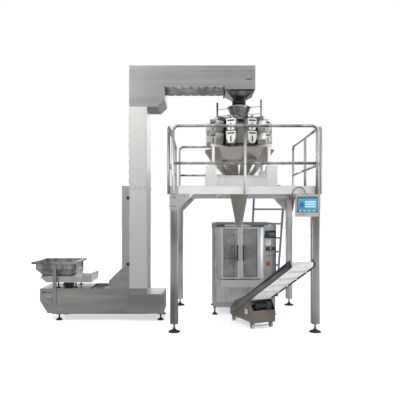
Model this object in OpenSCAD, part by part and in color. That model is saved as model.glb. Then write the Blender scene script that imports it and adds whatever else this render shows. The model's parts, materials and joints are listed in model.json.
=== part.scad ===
// Vertical form fill seal packing line: bucket elevator, multihead weigher on a railed platform,
// bagger and inclined take-off conveyor. Millimetres, +Z up.
// The origin is on the floor, under the axis down which the product falls.

/* [Platform] */
// Width of the platform along X
plat_w = 1900; // [1600:50:2300]
// Depth of the platform along Y
plat_d = 1900; // [1600:50:2300]
// Height of the top of the platform beams above the floor
deck_z = 1860; // [1750:20:2300]
// Side of the square leg tube
leg = 100; // [80:5:120]
// Height of the perimeter beams
beam_h = 100; // [80:5:120]
// Height of the guard rail above the deck
rail_h = 780; // [650:10:1000]
// Diameter of the guard rail tube
rail_dia = 38; // [32:1:45]
// Width of the ladder over its stiles
ladder_w = 530; // [400:10:600]
// Slope of the ladder from the floor, in degrees
ladder_slope = 66.6; // [62:0.2:72]
// Number of ladder treads
treads = 7; // [5:1:8]

/* [Elevator] */
// Distance from the column's outer face to the drop axis
elev_reach = 1568; // [1450:10:1900]
// Depth of the elevator casing along Y
elev_d = 530; // [440:10:640]
// Width of the column along X
column_w = 250; // [236:2:300]
// Height of the horizontal arm
arm_h = 295; // [270:5:360]
// Length of the boot to the left of the column
boot_len = 1090; // [1000:10:1300]
// Height of the boot casing
boot_h = 360; // [340:5:430]
// Height of the elevator feet
elev_foot_h = 95; // [80:5:120]
// Spacing of the ribs in the ribbed covers
rib_pitch = 125; // [100:5:160]
// Distance between two buckets along the chain
bucket_pitch = 203; // [160:1:300]
// Width of the infeed hopper along X
hopper_w = 625; // [520:5:700]
// Depth of the infeed hopper along Y
hopper_d = 650; // [540:5:760]
// Height of the infeed hopper
hopper_h = 195; // [160:5:240]

/* [Weigher] */
// Radius of the circle on which the hoppers stand
hopper_ring = 400; // [380:5:470]
// Width of one weigh hopper around the circle
bucket_w = 130; // [105:5:150]
// Height of one weigh hopper
bucket_h = 165; // [140:5:190]
// Radius of the infeed funnel at its top
funnel_r = 168; // [140:2:200]
// Height of the infeed funnel
funnel_h = 170; // [140:5:210]

/* [Bagger] */
// Width of the bagger cabinet
bag_w = 930; // [880:10:1100]
// Depth of the bagger cabinet behind its front plate
bag_d = 800; // [700:10:960]
// Height of the bagger
bag_h = 1370; // [1320:10:1450]
// Width of one front door
door_w = 340; // [300:5:380]
// Height of the front doors
door_h = 724; // [640:4:740]
// Outer radius of the forming tube
tube_r = 60; // [45:1:72]
// Outer radius of the film roll
roll_r = 170; // [120:5:200]
// Width of the film
film_w = 380; // [300:10:420]

/* [Conveyor] */
// Slope of the take-off conveyor, in degrees
conv_slope = 28.5; // [22:0.5:32]
// Length of the conveyor bed along its slope
conv_len = 1590; // [1400:10:1900]
// Width over the conveyor side frames
conv_w = 330; // [280:5:400]
// Turn of the conveyor about the vertical, in degrees
conv_turn = -67.2; // [-80:0.2:-60]

/* [Hidden] */
$fn = 48;

// Gap between two welded or bolted plates that stay separate solids
seam = 0.2;
// Clearance between two pieces that move past each other
run_gap = 1;
// Gap between a piece and the seat that carries it
seat_gap = 0.3;
// Thickness of folded sheet steel
sheet = 3;

// Platform
rail_r = rail_dia / 2;
rail_off = plat_d / 2 + rail_r + seat_gap;
rail_off_x = plat_w / 2 + rail_r + seat_gap;
post_x = plat_w / 2 - 40;
post_y = plat_d / 2 - 40;
rail_top = deck_z + rail_h - rail_r;
rail_mid = deck_z + 0.37 * rail_h;
rail_bend = 70;
foot_h = 110;
deck_t = 4;
deck_top = deck_z + deck_t;
drop_hole = 240;
gusset_x = 200;
gusset_z = 207;
ladder_x = plat_w / 2 - ladder_w / 2 - 100;
ladder_top_y = plat_d / 2 + 2;
ladder_run = deck_z / tan(ladder_slope);
stile_w = 28;
stile_d = 70;
stile_dy = stile_d / sin(ladder_slope);

// Weigher levels
weigh_z = deck_top + 616;
feed_z = weigh_z + bucket_h + 10;
body_r = 235;
body_z0 = weigh_z - 50;
body_z1 = feed_z + bucket_h + 8;
pan_z = body_z1 + 22;
cone_z = pan_z + 12;
cone_r = 160;
funnel_z0 = cone_z + 34;
stand_r = 329;
funnel_z1 = funnel_z0 + funnel_h;
chute_z1 = weigh_z - 55;
chute_z2 = chute_z1 - 157;
chute_z3 = chute_z2 - 270;
chute_r1 = hopper_ring + 95;
chute_r2 = chute_r1 - 100;
chute_r3 = 150;
collect_z = chute_z3 + 35;
collect_r = chute_r2 * 0.13 + 145.65;
neck_r = 56;

// Elevator levels
spout_h = 210;
arm_z0 = funnel_z1 + 30 + spout_h;
elev_h = arm_z0 + arm_h;
col_x0 = -elev_reach;
col_x1 = col_x0 + column_w;
elev_y = elev_d / 2;
inner = elev_y - sheet - seam;
boot_x0 = col_x0 - boot_len;
boot_z0 = elev_foot_h;
boot_z1 = boot_z0 + boot_h;
head_drop = 286;
head_z0 = arm_z0 - head_drop;
head_x1 = col_x0 + 500;
head_cut = 70;
spout_w = 216;
arm_x1 = spout_w - 6;
door_z0 = boot_z1 + 295;
door_z1 = door_z0 + 1152;
door_depth = 104;
slope_x = col_x0 - door_depth - 182;
slope_z = boot_z1 + 112;
guard_x1 = col_x1 + 234;
guard_z1 = boot_z1 - 73;
guard_front = 40;

// Bucket chain loop: two strands, corner radius and sprocket radii
bend_r = 80;
up_x = col_x0 + 63;
down_x = col_x1 - 63;
boot_hi = boot_z1 - 55;
boot_lo = boot_z0 + 105;
arm_hi = elev_h - 85;
arm_lo = arm_z0 + 75;
tail_x = boot_x0 - 40;
tail_r = (boot_hi - boot_lo) / 2;
head_r = (arm_hi - arm_lo) / 2;
head_x = arm_x1 - 90;
shaft_z = (arm_hi + arm_lo) / 2;
chain_half = 5;
chain_y = elev_y - 50;
bucket_half = chain_y - 22;

// Infeed hopper
hopper_x1 = boot_x0 + 355;
hopper_x0 = hopper_x1 - hopper_w;
hopper_flange = 45;
tray_z = boot_z1 + 80;
hopper_z0 = tray_z + 100;
hopper_z1 = hopper_z0 + hopper_h;

// Bagger
bag_x0 = -374;
bag_x1 = bag_x0 + bag_w;
bag_y0 = 150;
bag_y1 = bag_y0 + bag_d;
door_y = -243;
door_z = 593;
door_top = door_z + door_h;
door_t = 22;
bevel_x = 72;
bevel_y = 92;
hinge_y = door_y + bevel_y;
flank_x = door_w + 6;
panel_x0 = door_w + 34;
panel_y0 = bag_y0 - 90;
part_top = door_top - 27;
rack_y = bag_y1 + 340;
roll_y = bag_y1 + 172;
roll_z = 520;
jaw_z = 490;
jaw_open = 35;
guide_r = 10;
guide_x = 170;
frame_z = foot_h;
frame_w = 50;

// Conveyor
conv_x = 142;
conv_y = -440;
base_half = 330;
base_z0 = 84;
base_w = conv_w + 14;
roller_r = 30;
belt_t = 3;
bed_h = 92;
tail_at = -232;
tail_up = 166;
belt_w = conv_w - 40;
wheel_r = 35;
wheel_at = 262;

// Operator panel
op_x = 766;
op_w = 281;
op_h = 271;
op_z0 = deck_z - beam_h - 16 - op_h;
op_pivot_y = -plat_d / 2 - 62;
op_d = 66;
op_pin_x = 796;
gland_x = 743;
cable_r = 5;
// Route of the panel's cable
cable_route = [
    [504, -415, 1900], [524, -416, 1898], [545, -420, 1891], [563, -430, 1880], [576, -447, 1872],
    [584, -470, 1870], [588, -500, 1870], [590, -530, 1870], [592, -560, 1870], [593, -590, 1870],
    [594, -620, 1870], [595, -650, 1870], [596, -681, 1870], [597, -712, 1870], [597, -727, 1866],
    [598, -740, 1857], [598, -749, 1844], [598, -752, 1829], [598, -753, 1803], [597, -757, 1777],
    [595, -766, 1752], [594, -781, 1730], [593, -802, 1712], [592, -827, 1701], [592, -854, 1697],
    [592, -881, 1699], [593, -907, 1707], [594, -930, 1721], [596, -949, 1740], [600, -962, 1763],
    [607, -971, 1788], [618, -979, 1811], [635, -988, 1829], [658, -996, 1840], [683, -1003, 1843],
    [707, -1009, 1836], [727, -1013, 1820], [739, -1016, 1798], [743, -1016, 1777], [743, -1016, 1759]];

// Shared shapes
module box(x0, x1, y0, y1, z0, z1) {
    translate([x0, y0, z0]) cube([x1 - x0, y1 - y0, z1 - z0]);
}

// A box on one side of the middle plane: s is 1 or -1, near and far are measured from that plane
module xbox(s, near, far, y0, y1, z0, z1) {
    box(s > 0 ? near : -far, s > 0 ? far : -near, y0, y1, z0, z1);
}

module ybox(x0, x1, s, near, far, z0, z1) {
    box(x0, x1, s > 0 ? near : -far, s > 0 ? far : -near, z0, z1);
}

module rod_x(x0, x1, y, z, r) {
    translate([x0, y, z]) rotate([0, 90, 0]) cylinder(r = r, h = x1 - x0);
}

module rod_y(x, y0, y1, z, r) {
    translate([x, y1, z]) rotate([90, 0, 0]) cylinder(r = r, h = y1 - y0);
}

module rod_z(x, y, z0, z1, r) {
    translate([x, y, z0]) cylinder(r = r, h = z1 - z0);
}

// A plate whose outline is drawn in X and Z
module xz_plate(y0, y1) {
    translate([0, y1, 0]) rotate([90, 0, 0]) linear_extrude(y1 - y0) children();
}

// A plate whose outline is drawn in Y and Z
module yz_plate(x0, x1) {
    translate([x0, 0, 0]) rotate([90, 0, 90]) linear_extrude(x1 - x0) children();
}

module tube_box_x(x0, x1, y0, y1, z0, z1, t) {
    difference() {
        box(x0, x1, y0, y1, z0, z1);
        box(x0 - 1, x1 + 1, y0 + t, y1 - t, z0 + t, z1 - t);
    }
}

module tube_box_y(x0, x1, y0, y1, z0, z1, t) {
    difference() {
        box(x0, x1, y0, y1, z0, z1);
        box(x0 + t, x1 - t, y0 - 1, y1 + 1, z0 + t, z1 - t);
    }
}

module tube_box_z(x0, x1, y0, y1, z0, z1, t) {
    difference() {
        box(x0, x1, y0, y1, z0, z1);
        box(x0 + t, x1 - t, y0 + t, y1 - t, z0 - 1, z1 + 1);
    }
}

module rounded_square(x0, x1, y0, y1, r) {
    translate([x0 + r, y0]) square([x1 - x0 - 2 * r, y1 - y0]);
    translate([x0, y0 + r]) square([x1 - x0, y1 - y0 - 2 * r]);
    for (x = [x0 + r, x1 - r]) for (y = [y0 + r, y1 - r]) translate([x, y]) circle(r = r);
}

// Quarter bend of a round tube in the plane of X and Z, from -X round to +Z
module bend_xz(x, y, z, big, r, turn) {
    translate([x, y, z]) rotate([90, 0, 0]) rotate([0, 0, turn])
        rotate_extrude(angle = 90) translate([big, 0]) circle(r = r);
}

module bend_yz(x, y, z, big, r, turn) {
    translate([x, y, z]) rotate([90, 0, 90]) rotate([0, 0, turn])
        rotate_extrude(angle = 90) translate([big, 0]) circle(r = r);
}

// One sloping wall: half widths at the bottom and the top, and how far out each edge stands
module slope_wall(half0, out0, z0, half1, out1, z1, t) {
    rise = z1 - z0;
    spread = out1 - out0;
    long = sqrt(rise * rise + spread * spread);
    translate([0, -out0, z0]) rotate([atan2(rise, -spread), 0, 0]) linear_extrude(t)
        polygon([[-half0, 0], [half0, 0], [half1, long], [-half1, long]]);
}

// Four sloping walls round an opening
module four_walls(a0, b0, z0, a1, b1, z1, t) {
    for (turn = [0, 180]) rotate([0, 0, turn]) slope_wall(a0 - seam, b0, z0, a1 - seam, b1, z1, t);
    for (turn = [90, 270]) rotate([0, 0, turn]) slope_wall(b0 - seam, a0, z0, b1 - seam, a1, z1, t);
}

module pipe_z(x, y, z0, z1, r1, r0) {
    difference() {
        rod_z(x, y, z0, z1, r1);
        rod_z(x, y, z0 - 1, z1 + 1, r0);
    }
}

// Levelling foot: domed pad, stud and lock nut
module foot(x, y, h, r) {
    translate([x, y, 0]) rotate_extrude()
        polygon([[0, 0], [r, 0], [r, 10], [r * 0.86, 17], [r * 0.38, 30], [r * 0.3, 42], [10, 42], [10,
            h + 7.5], [0, h + 7.5]]);
    translate([x, y, h - 15]) difference() {
        cylinder(r = 17, h = 14.7, $fn = 6);
        translate([0, 0, -1]) cylinder(r = 10.2, h = 20);
    }
}

module foot_plate(x, y, half, z) {
    difference() {
        box(x - half, x + half, y - half, y + half, z, z + 8);
        rod_z(x, y, z - 1, z + 9, 10.4);
    }
}

// Platform
module platform_legs() {
    color([0.80, 0.80, 0.79]) for (sx = [-1, 1]) for (sy = [-1, 1]) {
        cx = sx * (plat_w / 2 - leg / 2);
        cy = sy * (plat_d / 2 - leg / 2);
        foot_plate(cx, cy, leg / 2, foot_h);
        translate([cx, cy, foot_h + 8 + seam]) linear_extrude(deck_z - beam_h - foot_h - 8 - 2 * seam)
            difference() {
            rounded_square(-leg / 2, leg / 2, -leg / 2, leg / 2, 8);
            rounded_square(4 - leg / 2, leg / 2 - 4, 4 - leg / 2, leg / 2 - 4, 5);
        }
    }
}

module platform_beams() {
    z0 = deck_z - beam_h;
    hx = plat_w / 2;
    hy = plat_d / 2;
    cross = drop_hole + 60;
    color([0.86, 0.86, 0.85]) {
        for (s = [-1, 1]) {
            my = s * (hy - leg / 2);
            mx = s * (hx - leg / 2);
            tube_box_x(-hx + 3 + seam, hx - 3 - seam, my - leg / 2, my + leg / 2, z0, deck_z, 4);
            for (e = [-1, 1]) xbox(e, hx - 3, hx, my - leg / 2, my + leg / 2, z0, deck_z);
            tube_box_y(mx - leg / 2, mx + leg / 2, -hy + leg + seam, hy - leg - seam, z0, deck_z, 4);
            tube_box_y(s * cross - 25, s * cross + 25, -hy + leg + seam, hy - leg - seam, z0 + 20,
                deck_z, 3);
            tube_box_x(-cross + 25 + seam, cross - 25 - seam, s * cross - 25, s * cross + 25, z0 + 20,
                deck_z, 3);
        }
        for (sx = [-1, 1]) for (sy = [-1, 1]) {
            fx = [sx * hx, sx * (hx - leg - gusset_x), sx * (hx - leg), sx * hx];
            fy = [sy * hy, sy * (hy - leg - gusset_x), sy * (hy - leg), sy * hy];
            y0 = sy > 0 ? hy + seam : -hy - 5 - seam;
            x0 = sx > 0 ? hx + seam : -hx - 5 - seam;
            xz_plate(y0, y0 + 5)
                polygon([[fx[0], z0 - seam], [fx[1], z0 - seam], [fx[2], z0 - gusset_z], [fx[3],
                    z0 - gusset_z]]);
            yz_plate(x0, x0 + 5)
                polygon([[fy[0], z0 - seam], [fy[1], z0 - seam], [fy[2], z0 - gusset_z], [fy[3],
                    z0 - gusset_z]]);
        }
        // Bracket of the operator panel
        box(op_pin_x - 20, op_pin_x + 30, -hy - 6, -hy - seam, z0 + 10, z0 + 70);
        box(op_pin_x - 20, op_pin_x + 30, op_pivot_y - 30, -hy - seam, z0 + 4, z0 + 10 - seam);
    }
}

module platform_deck() {
    hx = plat_w / 2;
    hy = plat_d / 2;
    h = drop_hole;
    z0 = deck_z + seam;
    color([0.74, 0.75, 0.75]) {
        for (s = [-1, 1]) {
            difference() {
                xbox(s, h + 0.4, hx, -hy, -0.4, z0, deck_top);
                if (s > 0) rod_z(cable_route[14][0], -734, z0 - 1, deck_top + 1, 21);
            }
            xbox(s, h + 0.4, hx, 0.4, hy, z0, deck_top);
            ybox(-h, h, s, h, hy, z0, deck_top);
            // Upstand round the drop opening
            ybox(-h, h, s, h, h + 3, deck_top + seam, deck_top + 26);
            xbox(s, h, h + 3, -h + seam, h - seam, deck_top + seam, deck_top + 26);
        }
    }
}

module rail_post_x(x, y, z1) {
    difference() {
        rod_z(x, y, deck_z - beam_h, z1, rail_r);
        rod_x(x - 50, x + 50, y, z1, rail_r + seam);
    }
}

module rail_post_y(x, y, z1) {
    difference() {
        rod_z(x, y, deck_z - beam_h, z1, rail_r);
        rod_y(x, y - 50, y + 50, z1, rail_r + seam);
    }
}

// A railing along X
module railing_x(x0, x1, y) {
    mid = (x0 + x1) / 2;
    z_turn = rail_top - rail_bend;
    for (x = [x0, x1]) rod_z(x, y, deck_z - beam_h, z_turn - seam, rail_r);
    bend_xz(x0 + rail_bend, y, z_turn, rail_bend, rail_r, 90);
    bend_xz(x1 - rail_bend, y, z_turn, rail_bend, rail_r, 0);
    rod_x(x0 + rail_bend + seam, x1 - rail_bend - seam, y, rail_top, rail_r);
    rail_post_x(mid, y, rail_top);
    for (span = [[x0, mid], [mid, x1]]) difference() {
        rod_x(span[0], span[1], y, rail_mid, rail_r);
        for (x = span) rod_z(x, y, rail_mid - 40, rail_mid + 40, rail_r + seam);
    }
}

module railing_y(x, y0, y1) {
    mid = (y0 + y1) / 2;
    z_turn = rail_top - rail_bend;
    for (y = [y0, y1]) rod_z(x, y, deck_z - beam_h, z_turn - seam, rail_r);
    bend_yz(x, y0 + rail_bend, z_turn, rail_bend, rail_r, 90);
    bend_yz(x, y1 - rail_bend, z_turn, rail_bend, rail_r, 0);
    rod_y(x, y0 + rail_bend + seam, y1 - rail_bend - seam, rail_top, rail_r);
    rail_post_y(x, mid, rail_top);
    for (span = [[y0, mid], [mid, y1]]) difference() {
        rod_y(x, span[0], span[1], rail_mid, rail_r);
        for (y = span) rod_z(x, y, rail_mid - 40, rail_mid + 40, rail_r + seam);
    }
}

module guard_rails() {
    color([0.78, 0.79, 0.80]) {
        railing_x(-post_x, post_x, -rail_off);
        railing_x(-post_x, ladder_x - ladder_w / 2 - 70, rail_off);
        railing_y(-rail_off_x, -post_y, post_y);
        railing_y(rail_off_x, -post_y, post_y);
    }
}

module access_ladder() {
    gap = deck_z / (treads + 0.5);
    slope = 1 / tan(ladder_slope);
    color([0.45, 0.46, 0.47]) {
        for (s = [-1, 1]) {
            x0 = ladder_x + s * (ladder_w / 2 - stile_w / 2) - stile_w / 2;
            yz_plate(x0, x0 + stile_w) polygon([
                [ladder_top_y, deck_z - 2], [ladder_top_y + (deck_z - 30) * slope, 28],
                [ladder_top_y + (deck_z - 30) * slope + stile_dy, 28], [ladder_top_y + stile_dy,
                    deck_z - 2]]);
            // Hook plate on the rear beam
            box(x0, x0 + stile_w, plat_d / 2 + seat_gap, ladder_top_y - seam, deck_z - 90, deck_z - 4);
        }
        for (i = [1:treads]) {
            z = deck_z - 16 - i * gap;
            y = ladder_top_y + (deck_z - z) * slope + stile_dy / 2;
            box(ladder_x - ladder_w / 2 + stile_w + seam, ladder_x + ladder_w / 2 - stile_w - seam,
                y - 52, y + 52, z - 26, z);
        }
    }
}

module levelling_feet() {
    color([0.07, 0.07, 0.07]) {
        for (sx = [-1, 1]) for (sy = [-1, 1])
            foot(sx * (plat_w / 2 - leg / 2), sy * (plat_d / 2 - leg / 2), foot_h, 75);
        for (x = [boot_x0 + 85, guard_x1 - 46]) for (y = [-200, 200])
            foot(x, y, elev_foot_h - 8 - seam, 45);
        for (x = [bag_x0 + frame_w / 2, bag_x1 - frame_w / 2]) for (y = [bag_y0 + frame_w / 2,
            bag_y1 - frame_w / 2])
            foot(x, y, frame_z, 40);
        for (s = [-1, 1]) {
            x0 = ladder_x + s * (ladder_w / 2 - stile_w / 2);
            y0 = ladder_top_y + (deck_z - 30) / tan(ladder_slope) + stile_dy / 2;
            box(x0 - 22, x0 + 22, y0 - 45, y0 + 60, 0, 27.7);
        }
    }
}

// Elevator
module elevator_boot() {
    y = elev_y;
    x1 = col_x1;
    open0 = col_x0 - 562;
    open1 = col_x0 - 287;
    end_x = boot_x0 - 172;
    color([0.80, 0.80, 0.78]) {
        for (s = [-1, 1]) {
            y0 = s > 0 ? y - sheet : -y;
            difference() {
                box(boot_x0, x1, y0, y0 + sheet, boot_z0, boot_z1);
                rod_y(down_x - bend_r, y0 - 1, y0 + 5, boot_lo + bend_r, 17);
            }
            // Bulged end, upper and lower part
            xz_plate(y0, y0 + sheet)
                polygon([[end_x, boot_z1 - 50], [boot_x0 - seam, boot_z1 - 50],
                         [boot_x0 - seam, boot_z1], [end_x + 8, boot_z1]]);
            difference() {
                xz_plate(y0, y0 + sheet)
                    polygon([[end_x + 110, boot_z0 + 12], [boot_x0 - seam, boot_z0 + 12],
                    [boot_x0 - seam, boot_z1 - 60], [end_x, boot_z1 - 60], [end_x, boot_z0 + 190]]);
                rod_y(tail_x, y0 - 1, y0 + 5, (boot_hi + boot_lo) / 2, 17);
            }
            // Sloping cover below the door
            xz_plate(y0, y0 + sheet) polygon([[slope_x, boot_z1 + seam], [col_x0 - seam, boot_z1 + seam],
                [col_x0 - seam, door_z0 - 4], [col_x0 - door_depth, door_z0 - 4], [slope_x, slope_z]]);
        }
        box(boot_x0, x1, -inner, inner, boot_z0, boot_z0 + sheet);
        box(boot_x0, open0, -inner, inner, boot_z1 - sheet, boot_z1);
        box(open1, slope_x + sheet, -inner, inner, boot_z1 - sheet, boot_z1);
        box(x1 - sheet, x1, -inner, inner, boot_z0 + sheet + seam, boot_z1);
        box(end_x, end_x + sheet, -inner, inner, boot_z0 + 190, boot_z1 - 60);
        box(end_x + 8, boot_x0 - seam, -inner, inner, boot_z1 - sheet, boot_z1);
        box(end_x + 1, end_x + 4, -inner, inner, boot_z1 - 49,
            boot_z1 - sheet - seam);
        translate([end_x + 110, 0, boot_z0 + 12]) rotate([0, -atan2(178, -110) , 0])
            translate([0, -y + sheet + seam, -sheet]) cube([209, 2 * (y - sheet - seam), sheet]);
        box(end_x + 113, boot_x0 - seam, -inner, inner, boot_z0 + 12, boot_z0 + 15);
        box(slope_x, slope_x + sheet, -inner, inner, boot_z1 + seam, slope_z);
        rise = door_z0 - 4 - slope_z;
        run = col_x0 - door_depth - slope_x;
        translate([slope_x, 0, slope_z + seam]) rotate([0, -atan2(rise, run), 0])
            translate([0, -y + sheet + seam, -sheet]) cube([sqrt(rise * rise + run * run),
                2 * (y - sheet - seam), sheet]);
        box(col_x0 - door_depth + seam, col_x0 - seam, -inner, inner,
            door_z0 - 4 - sheet, door_z0 - 4);
        // Bearings, foot brackets and the small access plate
        for (s = [-1, 1]) for (p = [[tail_x, (boot_hi + boot_lo) / 2], [down_x - bend_r,
            boot_lo + bend_r]]) difference() {
            y0 = s > 0 ? y + seam : -y - 24;
            box(p[0] - 40, p[0] + 40, y0, y0 + 24 - seam, p[1] - 40, p[1] + 40);
            rod_y(p[0], y0 - 1, y0 + 26, p[1], 16);
        }
        for (s = [-1, 1]) foot_plate(boot_x0 + 85, s * 200, 40, elev_foot_h - 8 - seam);
        box(boot_x0 + 178, boot_x0 + 398, -y - 3, -y - seam, boot_z0 + 60, boot_z0 + 250);
    }
}

module casing_section(z0, z1) {
    y = elev_y;
    for (s = [-1, 1]) {
        y0 = s > 0 ? y - sheet : -y;
        box(col_x0, col_x1, y0, y0 + sheet, z0, z1);
    }
    box(col_x1 - sheet, col_x1, -inner, inner, z0, z1);
}

module elevator_column() {
    y = elev_y;
    joint_z = door_z1 - 19;
    color([0.82, 0.82, 0.80]) {
        casing_section(boot_z1 + seam, joint_z - seam / 2);
        casing_section(joint_z + seam / 2, head_z0 - seam);
        // Front frame round the door opening
        for (s = [-1, 1]) ybox(col_x0, col_x0 + sheet, s, y - 50, y - sheet - seam, door_z0 - 4,
            door_z1 + 4);
        box(col_x0, col_x0 + sheet, -inner, inner, door_z1 + 4 + seam,
            head_z0 - seam);
        // Joint flanges
        for (s = [-1, 1]) {
            y0 = s > 0 ? y + seam : -y - 6;
            box(col_x0, col_x1, y0, y0 + 6 - seam, joint_z - 22, joint_z + 22);
        }
        box(col_x1 + seam, col_x1 + 6, -y, y, joint_z - 22, joint_z + 22);
        // Hinge pins' lugs of the door
        for (z = [door_z0 + 90, door_z1 - 90]) {
            box(col_x0 + seam, col_x0 + 42, y + seam, y + 12, z - 48, z - 22);
            difference() {
                rod_z(col_x0 - 7, y + 8, z - 48, z - 22, 7);
                rod_z(col_x0 - 7, y + 8, z - 60, z, 3.4);
            }
        }
    }
}

module elevator_door() {
    y = elev_y;
    x0 = col_x0 - door_depth;
    color([0.78, 0.79, 0.80]) {
        box(x0, x0 + sheet, -y, y - 1, door_z0, door_z1);
        for (z = [door_z0, door_z1 - sheet]) box(x0 + sheet + seam, col_x0 - 1, -y, y - 1, z, z + sheet);
        box(x0 + sheet + seam, col_x0 - 1, -y, -y + sheet, door_z0 + sheet + seam, door_z1 - sheet - seam);
        box(x0 + sheet + seam, col_x0 - 1, y - 1 - sheet, y - 1, door_z0 + sheet + seam,
            door_z1 - sheet - seam);
        for (z = [door_z0 + 90, door_z1 - 90]) {
            rod_z(col_x0 - 7, y + 8, z - 46, z + 22, 2.6);
            box(col_x0 - 50, col_x0 - 2, y - 1 + seam, y + 5, z - 20, z + 20);
        }
        // Handle plates of the two latches
        for (z = [door_z0 + 48, door_z1 - 168])
            box(col_x0 - 34, col_x0 - 2, -y - 12, -y - seam, z - 24, z + 24);
    }
}

module elevator_head() {
    y = elev_y;
    x1 = arm_x1;
    end_x = -spout_w - 7;
    low_z = arm_z0 - 40;
    slant = sqrt(105 * 105 + 97 * 97);
    color([0.83, 0.83, 0.81]) {
        for (s = [-1, 1]) {
            y0 = s > 0 ? y - sheet : -y;
            band = s > 0 ? y + seam : -y - 3;
            xz_plate(y0, y0 + sheet)
                polygon([[col_x0, head_z0], [head_x1 - 105, head_z0], [head_x1, head_z0 + 97],
                [head_x1, elev_h - 1], [col_x0, elev_h - 1]]);
            box(head_x1 + seam, end_x, y0, y0 + sheet, arm_z0, elev_h - 1);
            difference() {
                box(end_x + seam, x1, y0, y0 + sheet, low_z, elev_h - 1);
                rod_y(head_x, y0 - 1, y0 + 5, shaft_z, 17);
            }
            box(col_x0, x1, band, band + 3 - seam, elev_h - 80, elev_h);
            difference() {
                b0 = s > 0 ? y + seam : -y - 24;
                box(head_x - 40, head_x + 40, b0, b0 + 24 - seam, shaft_z - 40,
                    shaft_z + 40);
                rod_y(head_x, b0 - 1, b0 + 26, shaft_z, 16);
            }
        }
        box(col_x0, x1, -inner, inner, elev_h - sheet, elev_h);
        box(col_x0, col_x0 + sheet, -inner, inner, head_z0, elev_h - sheet - seam);
        box(col_x1, head_x1 - 105, -inner, inner, head_z0, head_z0 + sheet);
        translate([head_x1 - 105, 0, head_z0]) rotate([0, -atan2(97, 105), 0])
            translate([0, -y - 22, -seam - sheet]) cube([slant, 2 * y + 44, sheet]);
        box(head_x1 - sheet, head_x1, -inner, inner, head_z0 + 98, arm_z0 - seam);
        box(head_x1, end_x - seam, -inner, inner, arm_z0, arm_z0 + sheet);
        box(end_x + seam, end_x + sheet, -inner, inner, low_z, arm_z0 - seam);
        box(x1 - sheet, x1, -inner, inner, low_z, elev_h - sheet - seam);
    }
}

module rib_strip(from, to) {
    count = max(1, round((to - from) / rib_pitch));
    step = (to - from) / count;
    sag = 9;
    big = (step * step / 4 + sag * sag) / (2 * sag);
    for (i = [0:count - 1]) translate([from + (i + 0.5) * step, 0]) difference() {
        translate([0, big - sag]) circle(r = big, $fn = 240);
        translate([-2 * big, 0]) square([4 * big, 3 * big]);
        for (s = [0, 1]) translate([s * (step / 2 - seam) - (1 - s) * (2 * big + step / 2 - seam),
            -2 * big]) square([2 * big, 4 * big]);
    }
}

module ribbed_covers() {
    y = elev_y;
    color([0.83, 0.84, 0.85]) {
        translate([0, y - 4, arm_z0 - seam]) rotate([90, 0, 0])
            linear_extrude(2 * y - 8) rib_strip(head_x1 + 2, -spout_w - 9);
        translate([col_x0 - seam, y - 4, 0]) rotate([90, 0, 0]) linear_extrude(2 * y - 8)
            rotate([0, 0, -90]) mirror([1, 0, 0]) rib_strip(door_z1 + 14, elev_h - 84);
    }
}

// One bucket, hanging with its pivot at the middle of its top
module bucket() {
    difference() {
        rotate([90, 0, 0]) translate([0, 0, -bucket_half]) linear_extrude(2 * bucket_half)
            polygon([[-54, 18], [-34, -42], [34, -42], [54, 18]]);
        rotate([90, 0, 0]) translate([0, 0, 2 - bucket_half]) linear_extrude(2 * bucket_half - 4)
            polygon([[-52.6, 20], [-32.6, -40], [32.6, -40], [52.6, 20]]);
    }
    rod_y(0, -chain_y, chain_y, 0, 4);
}

module bucket_run(x0, z0, x1, z1) {
    long = sqrt((x1 - x0) * (x1 - x0) + (z1 - z0) * (z1 - z0));
    count = max(1, floor(long / bucket_pitch));
    for (i = [0:count - 1]) {
        f = (i + 0.5) / count;
        translate([x0 + (x1 - x0) * f, 0, z0 + (z1 - z0) * f]) bucket();
    }
}

module chain_bar(x0, z0, x1, z1) {
    box(min(x0, x1) - (x0 == x1 ? chain_half : 0), max(x0, x1) + (x0 == x1 ? chain_half : 0), -5, 5,
        min(z0, z1) - (z0 == z1 ? chain_half : 0), max(z0, z1) + (z0 == z1 ? chain_half : 0));
}

module chain_bend(x, z, r, turn, sweep) {
    translate([x, 5, z]) rotate([90, 0, 0]) linear_extrude(10) difference() {
        circle(r = r + chain_half);
        circle(r = r - chain_half);
        rotate([0, 0, turn + sweep]) translate([-400, 0]) square([800, 400]);
        rotate([0, 0, turn]) translate([-400, -400]) square([800, 400]);
    }
}

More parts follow.
